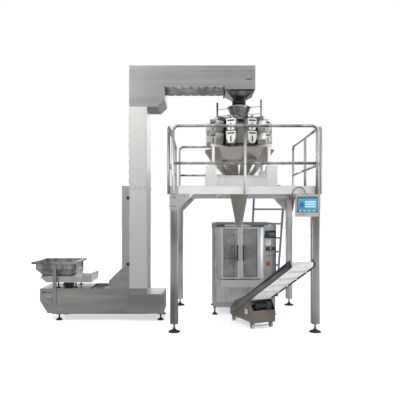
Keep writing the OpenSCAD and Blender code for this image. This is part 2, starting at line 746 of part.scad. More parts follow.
module bucket_chain() {
    b = bend_r;
    color([0.35, 0.36, 0.38]) {
        for (s = [-1, 1]) translate([0, s * chain_y, 0]) {
            chain_bar(tail_x, boot_hi, up_x - b, boot_hi);
            difference() {
                chain_bend(up_x - b, boot_hi + b, b, 180, 180);
                translate([up_x - 3 * b, -50, boot_hi - 20]) cube([2 * b, 100, 3 * b]);
            }
            chain_bar(up_x, boot_hi + b, up_x, arm_hi - b);
            difference() {
                chain_bend(up_x + b, arm_hi - b, b, 0, 180);
                translate([up_x + b, -50, arm_hi - 2 * b]) cube([2 * b, 100, 3 * b]);
            }
            chain_bar(up_x + b, arm_hi, head_x, arm_hi);
            difference() {
                chain_bend(head_x, shaft_z, head_r, 0, 180);
                translate([head_x - 2 * b, -50, arm_lo - b]) cube([2 * b, 100, 4 * b]);
            }
            difference() {
                chain_bend(head_x, shaft_z, head_r, 180, 180);
                translate([head_x - 2 * b, -50, arm_lo - b]) cube([2 * b, 100, 4 * b]);
            }
            chain_bar(down_x + b, arm_lo, head_x, arm_lo);
            difference() {
                chain_bend(down_x + b, arm_lo - b, b, 0, 180);
                translate([down_x + b, -50, arm_lo - 2 * b]) cube([2 * b, 100, 3 * b]);
            }
            chain_bar(down_x, boot_lo + b, down_x, arm_lo - b);
            difference() {
                chain_bend(down_x - b, boot_lo + b, b, 180, 180);
                translate([down_x - 3 * b, -50, boot_lo - 20]) cube([2 * b, 100, 3 * b]);
            }
            chain_bar(tail_x, boot_lo, down_x - b, boot_lo);
            for (turn = [0, 180]) difference() {
                chain_bend(tail_x, (boot_hi + boot_lo) / 2, tail_r, turn, 180);
                translate([tail_x, -50, boot_lo - b]) cube([3 * b, 100, 6 * b]);
            }
        }
        bucket_run(tail_x, boot_hi, up_x - b, boot_hi);
        bucket_run(up_x, boot_hi + b, up_x, arm_hi - b);
        bucket_run(up_x + b + 60, arm_hi, head_x - 60, arm_hi);
        bucket_run(down_x + b + 60, arm_lo, head_x - 60, arm_lo);
        bucket_run(down_x, boot_lo + b, down_x, arm_lo - b);
        bucket_run(tail_x, boot_lo, down_x - b - 40, boot_lo);
    }
}

module chain_shaft(x, z, r, out) {
    rod_y(x, -out, out, z, 15);
    for (s = [-1, 1]) difference() {
        rod_y(x, s * chain_y - 4, s * chain_y + 4, z, r);
        rod_y(x, s * chain_y - 5, s * chain_y + 5, z, 15 + seam);
    }
}

module drive_shaft() {
    x = down_x - bend_r;
    z = boot_lo + bend_r;
    color([0.6, 0.6, 0.62]) {
        chain_shaft(x, z, bend_r - chain_half - run_gap, elev_y + 27);
        difference() {
            rod_y(x, -elev_y - 34, -elev_y - 27.2, z, 62);
            rod_y(x, -elev_y - 36, -elev_y - 26, z, 9);
        }
        rod_y(x, -elev_y - 34, -elev_y - 27, z, 8.8);
    }
}

module tail_shaft() {
    color([0.6, 0.6, 0.62]) chain_shaft(tail_x, (boot_hi + boot_lo) / 2, tail_r - chain_half - run_gap,
        elev_y + 30);
}

module head_shaft() {
    color([0.6, 0.6, 0.62]) chain_shaft(head_x, shaft_z, head_r - chain_half - run_gap,
        elev_y + 30);
}

module drive_motors() {
    x = col_x1 + 120;
    z = boot_z0 + 175;
    color([0.20, 0.22, 0.24]) {
        // Gearmotor of the elevator
        rod_y(x, -90, 150, z, 62);
        rod_y(x, 150 + seam, 200, z, 50);
        box(x - 55, x + 55, -190, -90 - seam, z - 70, z + 60);
        rod_y(x, -elev_y - 30, -190 - seam, z, 12);
        rod_y(x, -elev_y - 34, -elev_y - 30 - seam, z, 40);
        box(col_x1 + seam, x + 62, -190, 150, z - 82, z - 70 - seam);
        box(x - 40, x + 40, -60, 120, z - 70, z - 58);
        // Gearmotor of the take-off conveyor
        conveyor_frame() {
            rod_y(base_half - 80, -90, 60, 290, 42);
            box(base_half - 130, base_half - 32, 60 + seam, 130, 245, 345);
            box(base_half - 120, base_half - 40, -80, 130, 232, 245 - seam);
        }
    }
}

module drive_guard() {
    y1 = elev_y + guard_front;
    x0 = col_x0 - 35;
    x1 = guard_x1;
    z0 = boot_z0 + 12;
    z1 = guard_z1;
    color([0.79, 0.79, 0.77]) {
        for (s = [-1, 1]) {
            y0 = s > 0 ? y1 - sheet : -y1;
            f0 = s > 0 ? elev_y + 25 : -y1 + sheet + seam;
            f1 = s > 0 ? y1 - sheet - seam : -elev_y - 25;
            xz_plate(y0, y0 + sheet) union() {
                translate([x0, z0]) square([x1 - x0, z1 - z0 - 40]);
                translate([x0 + 40, z0]) square([x1 - x0 - 80, z1 - z0]);
                for (x = [x0 + 40, x1 - 40]) translate([x, z1 - 40]) circle(r = 40);
            }
            // Returns of the front and the rear face
            ybox(x0, x0 + sheet, s, elev_y + seam, y1 - sheet - seam, z0, z1 - 40);
            ybox(x0 + 40, col_x1, s, elev_y + seam, y1 - sheet - seam, z1 - sheet, z1);
        }
        box(col_x1 + seam, x1 - 40, -y1 + sheet + seam, y1 - sheet - seam, z1 - sheet, z1);
        box(x1 - sheet, x1, -y1 + sheet + seam, y1 - sheet - seam, z0, z1 - 40);
        translate([x1 - 40, 0, z1 - 40]) rotate([90, 0, 0]) translate([0, 0, -y1 + sheet + seam])
            linear_extrude(2 * (y1 - sheet - seam)) difference() {
            circle(r = 40);
            circle(r = 37);
            translate([-50, -100]) square([50 + seam, 200]);
            translate([-100, -50]) square([200, 50 + seam]);
        }
        for (s = [-1, 1]) {
            foot_plate(x1 - 46, s * 200, 40, elev_foot_h - 8 - seam);
            box(x1 - 60, x1 - 32, s * 200 - 12 + s * 30, s * 200 + 12 + s * 30, elev_foot_h, z0 + 6);
            ybox(x1 - 60, x1 - 32, s, 242 + seam, y1 - sheet - seam, z0, z0 + 6);
            box(x1 - 32 + seam, x1 - sheet - seam, s * 200 - 12 + s * 30, s * 200 + 12 + s * 30, z0,
                z0 + 6);
        }
    }
}

module infeed_hopper() {
    a1 = hopper_w / 2 - hopper_flange;
    b1 = elev_y - sheet;
    mid_z = hopper_z1 - 103;
    cx = (hopper_x0 + hopper_x1) / 2;
    color([0.85, 0.85, 0.83]) translate([cx, 0, 0]) {
        four_walls(200, 190, hopper_z0 + 6, a1 - 0.1, b1 - 0.1, mid_z - seam, sheet);
        for (s = [-1, 1]) {
            xbox(s, a1, a1 + sheet, -b1 + seam, b1 - seam, mid_z, hopper_z1 - sheet - seam);
            ybox(-a1 - sheet, a1 + sheet, s, b1, b1 + sheet, mid_z, hopper_z1 - sheet - seam);
            // Rim
            xbox(s, a1, hopper_w / 2, -hopper_d / 2, hopper_d / 2, hopper_z1 - sheet, hopper_z1);
            ybox(-a1 + seam, a1 - seam, s, b1, hopper_d / 2, hopper_z1 - sheet, hopper_z1);
            xbox(s, hopper_w / 2 - sheet, hopper_w / 2, -hopper_d / 2, hopper_d / 2,
                hopper_z1 - 26, hopper_z1 - sheet - seam);
            ybox(sheet - hopper_w / 2 + seam, hopper_w / 2 - sheet - seam, s, hopper_d / 2 - sheet,
                hopper_d / 2, hopper_z1 - 26, hopper_z1 - sheet - seam);
            // Sealing strips above the tray
            xbox(s, 201, 204, -190, 190, tray_z + 81, hopper_z0 + 5.6);
            ybox(-204, 204, s, 190 + seam, 194, tray_z + 81, hopper_z0 + 5.6);
            // Posts down to the boot
            ybox(-22, 22, s, elev_y + seat_gap, elev_y + 30, boot_z0 + 128, hopper_z1 - 32);
            // Guides of the gate
            ybox(a1 + sheet + 1.5, a1 + sheet + 16, s, 197, 210, tray_z + 110, hopper_z1 - 28);
            ybox(a1 + sheet + seam, a1 + sheet + 1.3, s, 206, 210, mid_z, hopper_z1 - 28);
        }
    }
}

module hopper_gate() {
    cx = (hopper_x0 + hopper_x1) / 2;
    x0 = cx + hopper_w / 2 - hopper_flange + sheet + 4;
    color([0.75, 0.76, 0.77]) {
        box(x0, x0 + 4, seat_gap - 197, 197 - seat_gap, tray_z + 24, tray_z + 200);
        for (y = [-120, 120]) {
            rod_x(x0 + 4 + seam, x0 + 16, y, tray_z + 165, 6);
            rod_x(x0 + 16 + seam, x0 + 38, y, tray_z + 165, 16);
        }
    }
}

module feeder_tray() {
    x0 = hopper_x0 + 90;
    floor0 = hopper_x0 + 183;
    floor1 = hopper_x0 + 708;
    end_x = hopper_x0 + 822;
    half = 232;
    color([0.84, 0.84, 0.82]) {
        box(floor0, end_x, -half + sheet + seam, half - sheet - seam, tray_z, tray_z + sheet);
        for (s = [-1, 1]) {
            y0 = s > 0 ? half - sheet : -half;
            xz_plate(y0, y0 + sheet)
                polygon([[x0, tray_z + 77], [floor0, tray_z], [floor1, tray_z], [floor1, tray_z + 77]]);
            xz_plate(y0, y0 + sheet)
                polygon([[floor1 + seam, tray_z], [end_x, tray_z],
                         [end_x, tray_z + 122], [floor1 + seam, tray_z + 77]]);
        }
        slant = sqrt(77 * 77 + 93 * 93);
        translate([floor0, 0, tray_z]) rotate([0, 180 + atan2(77, 93), 0])
            translate([sheet, -half + sheet + seam, 0]) cube([slant - sheet, 2 * (half - sheet - seam),
                sheet]);
    }
}

module feeder_vibrator() {
    cx = hopper_x0 + 450;
    z0 = boot_z1 + seat_gap;
    color([0.08, 0.08, 0.09]) {
        box(cx - 50, cx + 50, -70, 70, z0, tray_z - 9);
        box(cx - 30, cx + 30, -40, 40, tray_z - 9 + seam, tray_z - seat_gap);
        for (x = [boot_x0 + 60, cx + 130]) for (s = [-1, 1]) {
            box(x - 3, x + 3, s * 150 - 30, s * 150 + 30, z0 + 8, tray_z - seat_gap);
            box(x - 25, x + 25, s * 150 - 30, s * 150 + 30, z0, z0 + 8 - seam);
        }
    }
}

module discharge_spout() {
    z1 = arm_z0 - 40 - seat_gap;
    z0 = z1 - 86;
    half = spout_w - 8;
    tube = 74;
    color([0.80, 0.80, 0.78]) {
        for (s = [-1, 1]) {
            xbox(s, half - 12, half, -half - 30, half + 30, z1 - 4, z1);
            ybox(12 - half + seam, half - 12 - seam, s, half - 12, half + 30, z1 - 4, z1);
        }
        four_walls(98, 98, z0, half - 10, half - 10, z1 - 4 - seam, sheet);
        difference() {
            box(-100, 100, -100, 100, z0 - 4 - seam, z0 - seam);
            rod_z(0, 0, z0 - 10, z0 + 1, tube - 3);
        }
        pipe_z(0, 0, funnel_z1 - 40, z0 - 4 - 2 * seam, tube, tube - 3);
    }
    // Rubber ring round the neck
    color([0.06, 0.06, 0.06]) pipe_z(0, 0, funnel_z1 + 42, funnel_z1 + 82, 98, tube + seam);
}

// Weigher
module weigher_base() {
    c = hopper_ring + 15;
    z0 = deck_top + seat_gap;
    color([0.90, 0.90, 0.89]) {
        for (sx = [-1, 1]) for (sy = [-1, 1]) {
            translate([sx * c, sy * c, z0]) linear_extrude(303) rounded_square(-74, 74, -74, 74, 10);
            rod_z(sx * (c + 20), sy * (c + 20), z0 + 303 + seam, z0 + 328, 12);
            rod_z(sx * (c - 30), sy * (c - 30), z0 + 303 + seam, body_z0 + 10, 22);
            translate([0, 0, body_z0 + 10 + seam]) rotate([0, 0, atan2(sy, sx)])
                box(((body_r + 4) * cos(18) + 20 * sin(9)) / cos(9) + 0.3, (c - 4) * sqrt(2), -20, 20,
                    0, 30);
        }
        rod_x(c + 74 + seam, c + 88, -c, cable_route[0][2], 10);
        for (s = [-1, 1]) {
            ybox(-c + 74 + seam, c - 74 - seam, s, c - 3, c + 3, z0, z0 + 166);
            xbox(s, c - 3, c + 3, -c + 74 + seam, c - 74 - seam, z0, z0 + 166);
            ybox(-c + 74 + seam, c - 74 - seam, s, c - 33, c + 33, z0 + 166 + seam, z0 + 172);
            xbox(s, c - 33, c + 33, -c + 74 + seam, c - 74 - seam, z0 + 166 + seam, z0 + 172);
        }
    }
}

module weigher_body() {
    color([0.80, 0.81, 0.81]) {
        // Drum with ten flat faces, between the hoppers
        translate([0, 0, body_z0]) cylinder(r = body_r + 4, h = body_z1 - body_z0, $fn = 10);
        for (i = [0:9]) rotate([0, 0, 18 + 36 * i]) {
            box((body_r + 4) * cos(18) + seam, body_r + 60, -50, 50, weigh_z + 20, body_z1 - 40);
            box(body_r + 60 + seam, body_r + 68, -44, 44, weigh_z + 28, body_z1 - 48);
        }
        for (i = [0:9]) rotate([0, 0, 36 * i]) {
            box(body_r + 4.3, hopper_ring - 60, -16, 16, weigh_z + 60, weigh_z + 100);
            box(body_r + 4.3, hopper_ring - 60, -16, 16, feed_z + 60, feed_z + 100);
        }
        rod_z(0, 0, body_z1 + seam, body_z1 + 8, stand_r + 18);
        for (turn = [54, 234]) rotate([0, 0, turn]) translate([285, 0, body_z1 + 8]) {
            translate([0, 0, seam]) cylinder(r = 9, h = 16);
            translate([0, 0, 47]) rotate([90, 0, 0]) rotate_extrude() translate([26, 0]) circle(r = 6);
        }
    }
}

module feeder_pans() {
    z0 = pan_z - 12;
    color([0.85, 0.85, 0.84]) for (i = [0:9]) rotate([0, 0, 36 * i]) {
        yz_plate(cone_r + 6, hopper_ring + 26) polygon([[-46, z0 + 46], [-34, z0], [34, z0], [46, z0 + 46],
            [44.5, z0 + 46], [33, z0 + 2], [-33, z0 + 2], [-44.5, z0 + 46]]);
        box(200, 270, -25, 25, body_z1 + 8 + seam, z0 - seam);
    }
}

module top_cone() {
    color([0.85, 0.85, 0.84]) {
        translate([0, 0, cone_z]) cylinder(r1 = cone_r, r2 = 12, h = 48);
        rod_z(0, 0, cone_z - 6, cone_z - seam, cone_r + 3);
        rod_z(0, 0, body_z1 + 8 + seam, cone_z - 6 - seam, 60);
    }
}

module infeed_funnel() {
    r0 = funnel_r * 0.5;
    mid = funnel_z0 + 0.36 * funnel_h;
    color([0.82, 0.82, 0.80]) {
        rotate_extrude() polygon([[r0, funnel_z0], [r0 + 3, funnel_z0], [r0 + 3, funnel_z0 + 30],
            [funnel_r * 0.78, mid + 8], [funnel_r, funnel_z1 - 14], [funnel_r, funnel_z1],
            [funnel_r - 3, funnel_z1], [funnel_r - 3, funnel_z1 - 14], [funnel_r * 0.78 - 3, mid + 8],
                [r0, funnel_z0 + 32]]);
        // Stands and arms that carry the funnel
        for (turn = [-18, 162]) rotate([0, 0, turn]) {
            rod_z(stand_r, 0, body_z1 + 8 + seam, funnel_z1 + 90, 14);
            difference() {
                box(funnel_r - 8, stand_r - 4, -10, 10, funnel_z1 - 12, funnel_z1 - 4);
                rod_z(0, 0, funnel_z1 - 20, funnel_z1, funnel_r + seam);
                rod_z(stand_r, 0, funnel_z1 - 20, funnel_z1, 14 + seam);
            }
            difference() {
                box(funnel_r * 0.66, stand_r - 4, -8, 8, funnel_z1 - 112, funnel_z1 - 104);
                rotate_extrude()
                    polygon([[0, funnel_z1 - 120], [funnel_r * 0.74 + 3, funnel_z1 - 120],
                             [funnel_r * 0.78 + 3, funnel_z1 - 100], [0, funnel_z1 - 100]]);
                rod_z(stand_r, 0, funnel_z1 - 120, funnel_z1, 14 + seam);
            }
        }
    }
}

// One hopper: open box over a wedge, closed by two flaps
module hopper_unit(z0, h) {
    w = bucket_w / 2;
    d = 58;
    y_top = z0 + h;
    knee = z0 + h * 0.42;
    a = hopper_ring - d + 2;
    b = hopper_ring + d + 16;
    difference() {
        yz_plate(hopper_ring - d, hopper_ring + d + 18)
            polygon([[-w, y_top], [-w, knee], [-w * 0.62, z0 + 6],
                     [w * 0.62, z0 + 6], [w, knee], [w, y_top]]);
        yz_plate(a, b)
            polygon([[-w + 2, y_top + 1], [-w + 2, knee], [-w * 0.62 + 2, z0],
            [w * 0.62 - 2, z0], [w - 2, knee], [w - 2, y_top + 1]]);
        // Seams between the folded sheets
        for (x = [a, b - seam]) box(x, x + seam, -99, 99, 0, 9999);
        box(a, b, -99, 99, knee, knee + seam);
        for (s = [-1, 1]) ybox(a, b, s, w * 0.62 - 3, w * 0.62 - 3 + seam, 0, knee);
    }
    for (s = [-1, 1]) ybox(hopper_ring - d + 1, hopper_ring + d + 17, s, seam, w * 0.62 - 1, z0 + 3,
        z0 + 6 - seam);
    box(hopper_ring - d - seam - 1.6, hopper_ring - d - seam, -30, 30, z0 + 50, z0 + 110);
}

module feed_hoppers() {
    color([0.87, 0.87, 0.86]) for (i = [0:9]) rotate([0, 0, 36 * i]) hopper_unit(feed_z, bucket_h);
}

module weigh_hoppers() {
    color([0.86, 0.86, 0.85]) for (i = [0:9]) rotate([0, 0, 36 * i]) hopper_unit(weigh_z, bucket_h);
}

module discharge_chutes() {
    half1 = chute_r1 * tan(18) - 0.2;
    half2 = chute_r2 * tan(18) - 0.2;
    color([0.62, 0.59, 0.55]) for (i = [0:9]) rotate([0, 0, 36 * i + 90]) {
        slope_wall(half2, chute_r2, chute_z2 + seam, half1, chute_r1, chute_z1, 2.5);
        slope_wall(42, chute_r3, chute_z3, 75, chute_r2, chute_z2, 2.5);
    }
    // Hangers up to the drum's arms
    color([0.62, 0.59, 0.55]) for (turn = [45:90:315]) rotate([0, 0, turn])
        box(chute_r1 - 8, chute_r1 + 22, -20, 20, chute_z1 + seam, body_z0 + 10);
}

module collecting_funnel() {
    t = 3;
    color([0.50, 0.45, 0.40]) {
        rotate_extrude() polygon([[neck_r - t, bag_h + 6], [neck_r, bag_h + 6], [neck_r + 1,
            bag_h + 40], [130, deck_z - 72],
            [152, deck_z + 82], [collect_r, collect_z - 3], [collect_r + 12, collect_z - 3],
                [collect_r + 12, collect_z],
            [collect_r - t, collect_z], [152 - t, deck_z + 83], [130 - t, deck_z - 71], [neck_r - t,
                bag_h + 42]]);
        // Straps that hang the funnel in the base of the weigher
        for (s = [-1, 1])
            xbox(s, collect_r + 2, hopper_ring - 18 - seam, -18, 18, collect_z + seam, collect_z + 5);
    }
}

module operator_panel() {
    y1 = op_pivot_y + 14;
    y0 = y1 - op_d;
    x0 = op_x - op_w / 2;
    color([0.80, 0.81, 0.82]) {
        difference() {
            xz_plate(y0, y1) rounded_square(x0, x0 + op_w, op_z0, op_z0 + op_h, 10);
            box(x0 + 17, x0 + op_w - 20, y0 - 1, y0 + 4, op_z0 + 62, op_z0 + op_h - 26);
        }
        box(x0 + 18, x0 + op_w - 21, y0 + 1, y0 + 4 - seam, op_z0 + 63, op_z0 + op_h - 27);
        rod_z(op_pin_x, op_pivot_y, op_z0 + op_h + seam, deck_z - beam_h + 4 - seat_gap, 12);
        rod_z(gland_x, op_pivot_y - 4, op_z0 + op_h + seam, op_z0 + op_h + 14.6, 10);
    }
}

function unit(v) = v / norm(v);

function along(p, i) = unit(p[min(i + 1, len(p) - 1)] - p[max(i - 1, 0)]);

// A direction square to the route at each of its points
function sideways(p, u, i = 0) = i == len(p) ? [] :
    let (t = along(p, i), w = unit(u - (u * t) * t)) concat([w], sideways(p, w, i + 1));

module swept(p, r, n, u) {
    w = sideways(p, u);
    end = len(p) - 1;
    polyhedron(
        [for (i = [0:end]) for (k = [0:n - 1]) let (a = 360 * k / n)
            p[i] + r * (cos(a) * w[i] + sin(a) * cross(along(p, i), w[i]))],
        concat([[for (k = [0:n - 1]) k]], [[for (k = [n - 1:-1:0]) end * n + k]],
            [for (i = [0:end - 1]) for (k = [0:n - 1]) [i * n + k, (i + 1) * n + k, i * n + (k + 1) % n]],
            [for (i = [0:end - 1]) for (k = [0:n - 1])
                [(i + 1) * n + k, (i + 1) * n + (k + 1) % n, i * n + (k + 1) % n]]));
}

module panel_cable() {
    color([0.05, 0.05, 0.05]) swept(cable_route, cable_r, 10, [0, 0, 1]);
}

// Bagger
module bagger_frame() {
    w = frame_w;
    top = bag_h - 25;
    x0 = bag_x0;
    x1 = bag_x1;
    y0 = bag_y0;
    y1 = bag_y1;
    color([0.42, 0.43, 0.44]) {
        for (x = [x0, x1 - w]) {
            for (y = [y0, y1 - w]) {
                foot_plate(x + w / 2, y + w / 2, w / 2, frame_z);
                tube_box_z(x, x + w, y, y + w, frame_z + 8 + seam, top - seam, 3);
            }
            tube_box_y(x, x + w, y0 + w + seam, y1 - w - seam, frame_z, frame_z + 72, 3);
            box(x, x + w, y0 + w + seam, y1 - w - seam, top, bag_h);
        }
        for (y = [y0, y1 - w]) {
            tube_box_x(x0 + w + seam, x1 - w - seam, y, y + w, frame_z, frame_z + 72, 3);
            box(x0, x1, y, y + w, top, bag_h);
        }
        // Film rack behind the cabinet
        for (s = [-1, 1]) {
            x = s * (film_w / 2 + 45);
            box(x - 12, x + 12, y1 + seam, rack_y, frame_z + 8, frame_z + 48);
            difference() {
                box(x - 12, x + 12, y1 + seam, rack_y, roll_z - 20, roll_z + 20);
                rod_x(x - 20, x + 20, roll_y, roll_z, 12 + seat_gap);
            }
            box(x - 12, x + 12, rack_y - 30, rack_y, frame_z + 48 + seam, roll_z - 20 - seam);
            // Brackets of the guide rollers
            for (z = [880, 1100, 1240]) box(x - 6, x + 6, y1 + seam, y1 + 56, z - 20, z + 20);
        }
        for (z = [880, 1240]) rod_x(-film_w / 2 - 38.8, film_w / 2 + 38.8, y1 + 40, z, 14);
        rod_x(x0 + w + seam, x1 - w - seam, y1 - 40, top - 22, 14);
        rod_x(x0 + w + seam, x1 - w - seam, y0 + 26, top - 30, 14);
    }
}

module bagger_cabinet() {
    w = frame_w;
    x0 = bag_x0;
    x1 = bag_x1;
    y0 = bag_y0;
    y1 = bag_y1;
    z0 = frame_z + 72 + seam;
    z1 = part_top;
    f = flank_x;
    color([0.76, 0.77, 0.78]) {
        box(x0 + w + seam, x1 - w - seam, y0 + 4, y0 + 8, z0, z1);
        box(x0 + w + seam, x1 - w - seam, y1 - 6, y1 - 3, z0, z1);
        for (x = [x0 + 2, x1 - 5]) box(x, x + 3, y0 + w + seam, y1 - w - seam, z0, z1);
        for (s = [-1, 1]) {
            // Flanks of the guarded space and its lower edge
            xbox(s, f - 3, f, hinge_y + 16.4, y0 + (s > 0 ? 4 : 0) - seam, door_z, door_top);
            xbox(s, f - 22, f, y0 - 20, y0 + (s > 0 ? 4 : 0) - seam, door_z - 24, door_z - seam);
            xbox(s, 277, 280, door_y + 3 + seam, y0 + 4 - seam, 471, door_z - 21);
            for (z = [door_z + 190, door_top - 80])
                xbox(s, f + seam, f + 14, hinge_y + 24, hinge_y + 56, z - 34, z + 34);
        }
        box(-280, 280, door_y, door_y + 3, 471, door_z - 21);
        box(-f, -280 - seam, y0 - 20, y0 - seam, 471, door_z - 24 - seam);
        // Carrier of the forming tube and guide rods of the jaws
        difference() {
            box(-26, 26, tube_r - 6, y0 - seam, bag_h - 22, bag_h - 10);
            rod_z(0, 0, bag_h - 30, bag_h, tube_r + seam);
        }
        for (s = [-1, 1]) rod_y(s * guide_x, -150, y0 + 4 - seam, jaw_z + 30, guide_r);
        box(-guide_x - 24, guide_x + 24, -166, -150 - seam, jaw_z + 14, jaw_z + 46);
        for (s = [-1, 1]) xbox(s, guide_x + 24 + seam, 277 - seam, -166, -160, jaw_z + 20, jaw_z + 40);
        // Slides of the pull belts and of the vertical sealer
        for (s = [-1, 1]) xbox(s, 96, 126, 26.3, y0 + 4 - seam, 860, 890);
        box(-f + 3 + seam, -300 - seat_gap, -125, -60, 850, 880);
    }
}

module exit_chute() {
    r = 190;
    half = 150;
    yc = -160;
    zc = 445;
    color([0.92, 0.92, 0.91]) {
        translate([-half, yc, zc]) rotate([90, 0, 90]) linear_extrude(2 * half) difference() {
            circle(r = r + 3);
            circle(r = r);
            translate([-300, seam]) square([600, 300]);
            translate([-300 - seam, -300]) square([300, 600]);
        }
        box(-half, half, yc + r, yc + r + 3, zc + 2 * seam, zc + 20);
        for (s = [-1, 1]) {
            x0 = s > 0 ? half + seam : -half - 3;
            translate([x0, yc, zc]) rotate([90, 0, 90]) linear_extrude(3 - seam) difference() {
                circle(r = r + 3);
                circle(r = r - 60);
                translate([-300, seam]) square([600, 300]);
                translate([-300 - seam, -300]) square([300, 600]);
            }
            box(x0 - (s > 0 ? 0 : 30), x0 + (s > 0 ? 33 : 3 - seam), yc + r + 3 + seam,
                bag_y0 + 4 - seam, zc - 30, zc - 27);
            xbox(s, half - 25, half, yc + r + 3 + seam, yc + r + 6, zc - 27 + seam, zc + 20);
            xbox(s, half - 25, half, yc + r + 6 + seam, bag_y0 + 4 - seam, zc - 20, zc - 16);
        }
    }
}

module control_panel() {
    x0 = panel_x0;
    x1 = bag_x1;
    y0 = panel_y0;
    y1 = bag_y0 - seam;
    color([0.78, 0.79, 0.80]) {
        difference() {
            box(x0, x1, y0, y1, 590, bag_h - 30);
            box(x0 + 3, x1 - 3, y0 + 3, y1 + 1, 593, bag_h - 33);
        }
        // Screen, label, two instruments and a row of buttons
        box(x0 + 8, x1 - 8, y0 - 9, y0 - seam, 1148, 1262);
        box(x0 + 28, x0 + 96, y0 - 2, y0 - seam, 1046, 1122);
        for (x = [x0 + 26, x0 + 108]) box(x, x + 62, y0 - 8, y0 - seam, 954, 1020);
        for (i = [0:3]) rod_y(x0 + 34 + 38 * i, y0 - 10, y0 - seam, 892, 10);
        box(x0 + 35, x0 + 95, y0 - 3, y0 - seam, 741, 802);
        difference() {
            rod_y(x0 + 65, y0 - 12, y0 - 3 - seam, 771.5, 20);
            rod_y(x0 + 65, y0 - 13, y0 + 1, 771.5, 10 + seat_gap);
        }
    }
}

// A front door seen as the right one; the left one is its mirror
module door_frame() {
    x0 = 1.2;
    x1 = door_w - bevel_x;
    y0 = door_y;
    y1 = door_y + door_t;
    color([0.80, 0.81, 0.82]) {
        box(x0, x1, y0, y1, door_z, door_z + 23);
        box(x0, x1, y0, y1, door_top - 23, door_top);
        box(x0, 46, y0, y1, door_z + 23 + seam, door_top - 23 - seam);
        box(236, x1, y0, y1, door_z + 23 + seam, door_top - 23 - seam);
        // Rounded outer corner
        translate([x1 + seam, y0 + bevel_x, door_z]) linear_extrude(door_h) difference() {
            circle(r = bevel_x);
            circle(r = bevel_x - 3);
            translate([-100, 0]) square([300, 100]);
            translate([-200, -100]) square([200, 200]);
        }
        box(door_w - 3, door_w, y0 + bevel_x + seam, hinge_y, door_z, door_top);
        for (z = [door_z + 190, door_top - 80]) {
            rod_z(door_w + 4, hinge_y + 10, z - 26, z + 26, 6);
            box(door_w - 3, door_w + 4, hinge_y - 40, hinge_y + 4, z - 24, z + 24);
        }
    }
    // Handle
    color([0.04, 0.04, 0.04]) {
        box(30, 54, y0 - 40, y0 - 26, door_z + 240, door_z + 486);
        for (z = [door_z + 250, door_z + 456]) box(32, 44, y0 - 26 + seam, y0 - seam, z, z + 20);
    }
}

module door_pane() {
    color([0.20, 0.24, 0.28, 0.5])
        box(46 + seam, 236 - seam, door_y + 5, door_y + 11, door_z + 23 + seam, door_top - 23 - seam);
}

module left_door() {
    mirror([1, 0, 0]) door_frame();
}

module right_door() {
    door_frame();
}

module left_window() {
    mirror([1, 0, 0]) door_pane();
}

module right_window() {
    door_pane();
}

module emergency_stop() {
    x = panel_x0 + 65;
    color([0.70, 0.10, 0.06]) {
        rod_y(x, panel_y0 - 22, panel_y0 - 7.6, 771.5, 10);
        rod_y(x, panel_y0 - 36, panel_y0 - 22 - seam, 771.5, 20);
    }
}

module main_switch() {
    x = bag_x1 - 2;
    color([0.72, 0.10, 0.06]) {
        rod_x(x + seat_gap, x + 12, 620, 1050, 24);
        box(x + 12 + seam, x + 30, 612, 628, 1020, 1080);
    }
}

module forming_tube() {
    color([0.80, 0.80, 0.80]) {
        pipe_z(0, 0, door_z - 33, bag_h + 5, tube_r, tube_r - 2);
    }
}

module forming_collar() {
    r = tube_r + 4;
    z0 = 1150;
    z1 = part_top - 10;
    color([0.90, 0.90, 0.90]) {
        difference() {
            rotate_extrude() polygon([[r, z0], [r + 2, z0], [r + 2, z0 + 60], [r + 72, z1 - 30],
                [r + 70, z1 - 30], [r, z0 + 60]]);
            translate([-300, -300, z0 - 1]) cube([600, 300 - r - 8, 400]);
        }
        difference() {
            box(-150, 150, bag_y0 - 20, bag_y0 + 4 - seam, z0 + 10, z0 + 22);
            rod_z(0, 0, z0, z0 + 30, r + 2 + seam);
        }
        for (s = [-1, 1]) difference() {
            xbox(s, 40, 66, 0, bag_y0 - 20 - seam, z0 + 10, z0 + 22);
            rod_z(0, 0, z0, z0 + 30, r + 2 + seam);
        }
    }
}

module pull_belt(s) {
    x = s * (tube_r + 4 + 22);
    color([0.78, 0.79, 0.80]) {
        for (z = [730, 1020]) rod_y(x, -26, 26, z, 22);
        box(x - 22, x + 22, -26, 26, 752 + seam, 998 - seam);
        xbox(s, s * x + 22 + seam, s * x + 34, -26, 26, 780, 970);
    }
}

module pull_belt_left() {
    pull_belt(-1);
}

module pull_belt_right() {
    pull_belt(1);
}

module vertical_sealer() {
    y1 = -tube_r - 3;
    color([0.66, 0.67, 0.68]) {
        box(-12, 12, y1 - 22, y1, 690, 1060);
        box(-24, 24, y1 - 40, y1 - 22 - seam, 760, 990);
        box(-300, -24 - seam, y1 - 40, y1 - 28, 850, 880);
    }
}

module jaw(s) {
    z = jaw_z;
    color([0.70, 0.71, 0.72]) {
        difference() {
            ybox(-guide_x - 26, guide_x + 26, s, jaw_open, jaw_open + 44, z, z + 60);
            for (e = [-1, 1]) rod_y(e * guide_x, -200, 200, z + 30, guide_r + 0.5);
        }
        ybox(-140, 140, s, jaw_open - 8, jaw_open - seam, z + 8, z + 52);
    }
}

module front_jaw() {
    jaw(-1);
}

module rear_jaw() {
    jaw(1);
}

module film_roll() {
    color([0.90, 0.91, 0.92]) {
        difference() {
            rod_x(-film_w / 2, film_w / 2, roll_y, roll_z, roll_r);
            rod_x(-film_w, film_w, roll_y, roll_z, 40);
        }
        difference() {
            rod_x(-film_w / 2 - 6, film_w / 2 + 6, roll_y, roll_z, 40 - seam);
            rod_x(-film_w, film_w, roll_y, roll_z, 12 + seam);
        }
        rod_x(-film_w / 2 - 66, film_w / 2 + 66, roll_y, roll_z, 12);
    }
}

